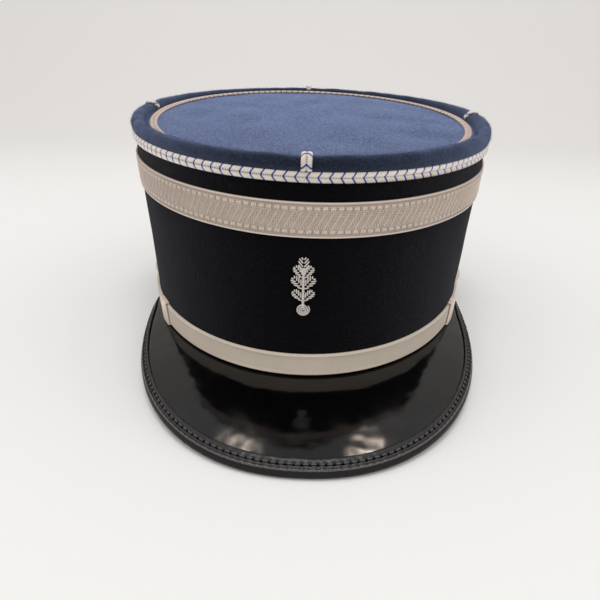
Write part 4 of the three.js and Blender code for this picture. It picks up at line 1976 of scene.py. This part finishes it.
@dataclass
class Strap:
    """The lace strap over the peak, its two slides and its two buttons."""

    cap: Cap
    end_angle: float = 89.0
    rib: float = 0.55
    slide_length: float = 7.5
    slide_wall: float = 0.7
    slide_slant: float = 0.12
    slide_angles: tuple[float, float] = (-53.5, 59.5)
    button_angle: float = 86.0
    button_radius: float = 6.0
    button_rim: float = 1.2
    button_dome: float = 4.2

    def over_strap(self, angle: Array, out: Array, up: Array) -> Array:
        """Returns places over the strap: out from the wall and up from the strap's foot."""
        return self.cap.form.over_rim(angle, out, self.cap.peak.strap_foot(angle) + up)

    def build_strap(self) -> Piece:
        """Makes the ribbed strap with a corded upper and lower edge.

        Returns:
            The strap.
        """
        peak, form = self.cap.peak, self.cap.form
        end = math.radians(self.end_angle)
        path = Path(lambda t: self.over_strap(t, 1.6, 5.0), -end, end)
        count = int(path.length / self.rib * 4)
        along = np.linspace(0, path.length, count)
        angle = path.at(along)[:, None]
        width, face = peak.strap_width, form.gap + peak.strap_thickness
        up = np.array([0, 0.12, 0.45, 0.8, 1.05, 2.5, 5.1])
        out = np.array([form.gap, face - 0.5, face - 0.05, face, face - 0.1, face - 0.06, face])
        up = np.append(up, width - up[-2::-1])
        out = np.append(out, out[-2::-1])
        ribbed = np.clip(np.minimum(up, width - up) - 0.9, 0, 0.3) / 0.3
        ribs = 0.022 * np.cos(along * TURN / self.rib)[:, None] * ribbed[None]
        uneven = waves(along[:, None], up[None], 50, 41) * 0.07 * ribbed
        points = self.over_strap(angle, out[None] + ribs + uneven, up[None] + 0 * angle)
        shape = Shape()
        shape.bar(points, chart_of(along[:, None], np.append(up, 0)))
        return shape.piece("strap_lace", self.cap.standing, [STRAP_LACE.material()], crease=70)

    def build_slide(self, degrees: float, name: str) -> Piece:
        """Makes one loop of lace round the strap.

        Args:
            degrees: Where its middle is.
            name: The piece's name.

        Returns:
            The slide.
        """
        form, peak = self.cap.form, self.cap.peak
        middle = math.radians(degrees)
        radius = reach_of(form.rim_point, middle)
        inside = form.gap + peak.strap_thickness + form.gap
        face = inside + self.slide_wall
        low, high = -0.5, peak.strap_width + form.gap + self.slide_wall
        gap = form.gap
        outer = [(gap, low), (face - 0.5, low), (face - 0.12, low + 0.15), (face, low + 0.5)]
        outer += [(face + 0.04, 3.0), (face + 0.06, 5.0), (face + 0.04, 7.5), (face, high - 0.6)]
        outer += [(face - 0.15, high - 0.2), (face - 0.6, high), (gap, high)]
        inner = [(gap, high - 0.6), (inside, high - 0.65), (inside, low + 0.35), (gap, low + 0.3)]
        section = np.array(outer + inner)
        lengths = np.linspace(-0.5, 0.5, 25) * self.slide_length
        edge = np.clip((np.abs(lengths) - self.slide_length / 2 + 0.7) / 0.7, 0, 1)
        swell = 0.22 * np.sqrt(1 - (edge - 0.35).clip(0) ** 2) - 0.22 * edge**3
        out = section[None, :, 0] + swell[:, None] * (section[:, 0] > inside + 0.1)[None]
        up = np.broadcast_to(section[None, :, 1], out.shape)
        lean = math.copysign(self.slide_slant, middle) * (up - peak.strap_width / 2)
        angle = middle + (lengths[:, None] + lean) / radius
        points = self.over_strap(angle, out, up)
        shape = Shape()
        shape.bar(points, chart_of(lengths[:, None] + 20, np.arange(len(section) + 1) * 1.1))
        return shape.piece(name, self.cap.standing, [SLIDE_LACE.material()], crease=60)

    def build_button(self, side: Side, name: str) -> Piece:
        """Makes one domed button with a corded rim.

        Args:
            side: The side of the cap.
            name: The piece's name.

        Returns:
            The button.
        """
        form, peak = self.cap.form, self.cap.peak
        angle = np.array([side.value * math.radians(self.button_angle)])
        _, up, out = (v[0] for v in form.wall_frame(angle))
        height = peak.strap_foot(angle) + peak.strap_width / 2
        base = form.over_rim(angle, np.array([2 * form.gap + peak.strap_thickness]), height)[0]
        across = np.cross(up, out)
        radius, rim = self.button_radius, self.button_rim
        bend = np.linspace(0, math.pi / 2, 14)[:-1]
        profile = [(radius * 0.4, 0.0), (radius - 0.2, 0.0), (radius, 0.25)]
        profile += [(radius, rim - 0.3), (radius - 0.12, rim - 0.05), (radius - 0.35, rim)]
        profile += [(radius - 0.75, rim - 0.15)]
        dome = self.button_dome - rim + 0.1
        profile += [((radius - 0.85) * math.cos(b), rim - 0.1 + dome * math.sin(b)) for b in bend]
        section = np.array(profile)
        corners, cords = 96, 24
        turn = np.arange(corners) * TURN / corners
        cord = 1 + 0.03 * np.cos(turn * cords)
        away = section[None, :, 0]
        near_rim = (section[:, 0] > radius - 0.4) & (section[:, 1] > 0.1)
        away = np.where(near_rim[None], away * cord[:, None] - 0.18, away)
        points = (
            base
            + across * (away * np.cos(turn)[:, None])[..., None]
            + up * (away * np.sin(turn)[:, None])[..., None]
            + out * (section[None, :, 1] + 0 * away)[..., None]
        )
        chart = chart_of(np.arange(corners + 1)[:, None] * 0.4, np.arange(len(section)) * 0.5)
        shape = Shape()
        numbers = shape.grid(points, chart, round_rows=True)
        shape.lid(numbers[:, 0])
        shape.pole(numbers[:, -1], base + out * (rim - 0.1 + dome), chart[:-1, -1])
        return shape.piece(name, self.cap.standing, [BUTTON.material()], crease=55)

    def build(self) -> None:
        """Builds the strap, the slides and the buttons."""
        settle(self.build_strap(), Slot.LACE, "chin_strap")
        for side, degrees in zip(Side, self.slide_angles):
            where = side.name.lower()
            slide = self.build_slide(degrees, f"slide_{where}_lace")
            settle(slide, Slot.LACE, f"strap_slide_{where}")
            button = self.build_button(side, f"button_{where}")
            settle(button, Slot.BUTTON, f"side_button_{where}")


# Peak


@dataclass
class Peak:
    """The patent peak and the stitched leather round its edge."""

    cap: Cap
    shares: int = 260
    rows: int = 60
    stitch: float = 3.0
    stitch_inset: float = 4.1

    def build_leather(self) -> Piece:
        """Makes the smooth peak.

        Returns:
            The peak.
        """
        form = self.cap.peak
        share = np.linspace(-1, 1, self.shares + 1)[:, None]
        reach = form.reach(share[:, 0])[:, None]
        outset = form.binding_leather + 0.3
        part = np.linspace(0, 1, self.rows)[None]
        inset = outset + (reach - 0.3 - outset) * part
        half = form.thickness / 2
        top = form.place(share, inset, half)
        bottom = form.place(share, inset[:, ::-1], -half)
        points = np.concatenate([top, bottom], 1)
        shape = Shape()
        shape.bar(points, chart_of(share * 200, np.arange(points.shape[1] + 1)))
        return shape.piece("peak_patent", self.cap.standing, [PATENT.material()], crease=40)

    def binding_section(self) -> Array:
        """Gives the binding's outline for its full width.

        Returns:
            Distances in from the outer edge and lifts, a row for each corner.
        """
        over = [(6.6, 1.2), (6.62, 1.5), (6.45, 1.82), (6.1, 1.92), (5.6, 1.9), (5.1, 1.84)]
        over += [(4.7, 1.76), (4.4, 1.7), (4.1, 1.68), (3.8, 1.7), (3.5, 1.76), (3.15, 1.82)]
        over += [(2.85, 1.62), (2.6, 1.5), (2.4, 1.62), (2.15, 1.92), (1.85, 2.03), (1.55, 1.92)]
        over += [(1.3, 1.6), (1.05, 1.42), (0.75, 1.3), (0.45, 1.0), (0.2, 0.6), (0.06, 0.25)]
        over += [(0.0, -0.1), (0.08, -0.55), (0.3, -1.0), (0.7, -1.45), (1.2, -1.75)]
        over += [(1.8, -1.9), (3.4, -1.85), (5.2, -1.85), (6.4, -1.8), (6.6, -1.5), (6.5, -1.2)]
        return np.array(over + [(0.7, -1.2), (0.7, 1.2)])

    def build_binding(self) -> Piece:
        """Makes the folded strip, with its stitch holes, bead and rolled edge, and its stitches.

        Returns:
            The binding.
        """
        form = self.cap.peak
        path = Path(form.edge, -1, 1)
        count = int(path.length / 0.36)
        along = np.linspace(0, path.length, count)
        share = path.at(along)[:, None]
        scale = np.minimum(1, 0.55 * form.reach(share[:, 0])[:, None] / form.binding_width)
        section = self.binding_section()
        inset = section[None, :, 0] * scale
        near_hole = along % self.stitch
        near_hole = np.minimum(near_hole, self.stitch - near_hole)
        hole = np.hypot(near_hole[:, None], (section[None, :, 0] - self.stitch_inset) * 1.2)
        top = (section[:, 1] > 1.25)[None]
        pits = 0.85 * bell(hole, 0.72) * top
        pucker = 0.12 * np.cos(near_hole / self.stitch * TURN)[:, None]
        pucker = pucker * bell(section[None, :, 0] - 2.0, 0.9) * top
        rough = waves(along[:, None], section[None, :, 0] * 2, 9, 51) * 0.08 * top
        inner_edge = 0.12 * waves(along, 0 * along, 5, 53)[:, None]
        inset = inset + inner_edge * bell(section[None, :, 0] - 6.6, 0.5) * top * scale
        lift = section[None, :, 1] - pits - pucker + rough
        lift = np.where(top, np.maximum(lift, 1.26), lift)
        points = form.place(share, inset, lift)
        chart = chart_of(along[:, None], np.arange(len(section) + 1) * 0.5)
        shape = Shape()
        inward = section[:, 0]
        bead = (inward > 1.4) & (inward < 2.5) & (section[:, 1] > 0)
        rolled = (inward < 1.4) | (section[:, 1] < 0)
        # Finishes: 4 darkens the stitch holes and 3 the rolled edge as painted shade; 2 lightens the
        # bead as painted highlight.
        finish = np.where(pits[:-1] > 0.3, 4, 2 * bead + 3 * rolled)
        shape.bar(points, chart, finish, 3)
        self._stitches(shape, path)
        used = (EDGE_LEATHER, STITCH, BEAD_HIGHLIGHT_LEATHER, ROLL_SHADE_LEATHER, HOLE_SHADE_LEATHER)
        finishes = [leather.material() for leather in used]
        return shape.piece("binding_leather", self.cap.standing, finishes, crease=70)

    def _stitches(self, shape: Shape, path: Path) -> None:
        """Adds the stitches, each a short thread from hole to hole.

        Args:
            shape: The piece.
            path: Lengths along the outer edge.
        """
        form = self.cap.peak
        count = int(path.length / self.stitch)
        steps = np.linspace(0.16, 0.84, 9)[None]
        along = (np.arange(1, count - 1)[:, None] + steps) * self.stitch
        share = path.at(along)
        reach = form.reach(share.ravel()).reshape(share.shape)
        scale = np.minimum(1, 0.55 * reach / form.binding_width)
        inset = self.stitch_inset * scale
        arch = 1.42 + 0.34 * np.sin((steps - 0.16) / 0.68 * math.pi).clip(0) ** 0.6
        paths = form.place(share, inset, arch)
        beside = form.place(share, inset + 0.2, arch) - paths
        taper = np.clip(np.sin(np.linspace(0.1, 0.9, 9) * math.pi) * 1.8, 0, 1)
        shape.strands(paths, beside, 0.33 * taper, 0.22 * taper, sides=6, finish=1)

    def build(self) -> None:
        """Builds the peak and its binding."""
        settle(self.build_leather(), Slot.PATENT, "peak")
        settle(self.build_binding(), Slot.EDGE_LEATHER, "peak_binding")


# Studio


@dataclass
class Studio:
    """The pale sweep, the soft lights and the camera."""

    cap: Cap
    lens: float = 27.18
    eye: tuple[float, float, float] = (3.04, -270.57, 110.44)
    pitch: float = 23.455
    roll: float = 1.219
    yaw: float = -1.448

    def build_camera(self) -> None:
        """Places the camera in front, a little above the top."""
        pitch, roll, yaw = (math.radians(a) for a in (self.pitch, self.roll, self.yaw))
        ahead = np.array(
            [math.sin(yaw) * math.cos(pitch), math.cos(yaw) * math.cos(pitch), -math.sin(pitch)]
        )
        level = np.array([math.cos(yaw), -math.sin(yaw), 0])
        above = np.cross(level, ahead)
        right = level * math.cos(roll) + above * math.sin(roll)
        above = above * math.cos(roll) - level * math.sin(roll)
        axes = self.cap.standing.directions(np.array([right, above, -ahead]))
        eye = self.cap.standing.points(np.array(self.eye)) * MM
        camera = bpy.data.cameras.new("camera")
        camera.lens = self.lens
        camera.sensor_width = 36.0
        camera.clip_start = 0.01
        placed = Matrix(axes.T).to_4x4()
        placed.translation = Vector(eye)
        holder = put("camera", camera)
        holder.matrix_world = placed
        bpy.context.scene.camera = holder

    def build_sweep(self) -> None:
        """Makes the floor, which curves up into a low wall behind."""
        bend = np.linspace(0, math.pi / 2, 24)
        across = np.linspace(-4, 4, 9)
        radius, start = 0.7, 0.75
        along = np.concatenate([[-4.0, -1.0, 0.0], start + radius * np.sin(bend), [1.46]])
        rise = np.concatenate([[0.0, 0.0, 0.0], radius * (1 - np.cos(bend)), [2.6]])
        points = np.stack(np.broadcast_arrays(across[:, None], along, rise), -1)
        mesh = bpy.data.meshes.new("sweep")
        faces = quads(np.arange(points[..., 0].size).reshape(points.shape[:2]))
        mesh.from_pydata(points.reshape(-1, 3).tolist(), [], faces.reshape(-1, 4).tolist())
        mesh.polygons.foreach_set("use_smooth", np.ones(len(mesh.polygons), bool))
        mesh.materials.append(SWEEP.material())
        put("sweep", mesh)

    def add_light(
        self, name: str, place: Iterable[float], size: float, power: float, colour: Colour
    ) -> None:
        """Adds a soft round light aimed at the cap.

        Args:
            name: The light's name.
            place: Where it hangs, in metres.
            size: Its width.
            power: Its power in watts.
            colour: Its colour.
        """
        light = bpy.data.lights.new(name, "AREA")
        light.shape = "DISK"
        light.size = size
        light.energy = power
        light.color = colour
        holder = put(name, light)
        holder.location = Vector(place)
        aim = Vector((0, 0, 0.08)) - holder.location
        holder.rotation_euler = aim.to_track_quat("-Z", "Y").to_euler()

    def build_world(self) -> None:
        """Makes a pale room that is darker overhead."""
        world = bpy.data.worlds.new("room")
        world.use_nodes = True
        world.node_tree.nodes.clear()
        nodes = Nodes(world.node_tree)
        direction = nodes.add("TexCoord").outputs["Generated"]
        height = nodes.add("SeparateXYZ", {0: direction}).outputs[2]
        share = nodes.band(height, 0.58, 0.95)
        colour = nodes.blend(share, (1.0, 0.955, 0.925), (0.56, 0.55, 0.57))
        room = nodes.add("Background", {"Color": colour, "Strength": 1.12})
        nodes.add("OutputWorld", {"Surface": room.outputs[0]})
        bpy.context.scene.world = world

    def build(self) -> None:
        """Builds the camera, the sweep, the lights and the room."""
        self.build_camera()
        self.build_sweep()
        self.build_world()
        self.add_light("overhead", (0.0, -0.25, 1.5), 0.7, 6.0, (1.0, 0.99, 0.98))
        warm = (1.0, 0.84, 0.7)
        left, right = (-0.27, 0.325, 1.09), (0.261, 0.314, 1.096)
        self.add_light("warm_left", left, 0.035, 0.07, warm)
        self.add_light("warm_left_halo", left, 0.095, 0.1, warm)
        self.add_light("warm_right", right, 0.035, 0.1, warm)
        self.add_light("warm_right_halo", right, 0.095, 0.135, warm)
        bpy.context.scene.view_settings.view_transform = "Standard"


SWEEP = PaintFinish("Pale sweep", (0.82, 0.83, 0.825), (0.86, 0.87, 0.865), roughness=0.9)


def main() -> None:
    """Builds the cap's looks and its studio."""
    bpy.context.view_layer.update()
    form = CapForm()
    peak = PeakForm(form)
    cap = Cap(form, Roll(form), peak, Standing(form, peak))
    for part in (Studio, Crown, Braids, Galon, Sprig, Strap, Peak):
        log.info("building %s", part.__name__)
        part(cap).build()


if __name__ == "__main__":
    logging.basicConfig(level=logging.INFO, format="%(name)s: %(message)s")
    main()
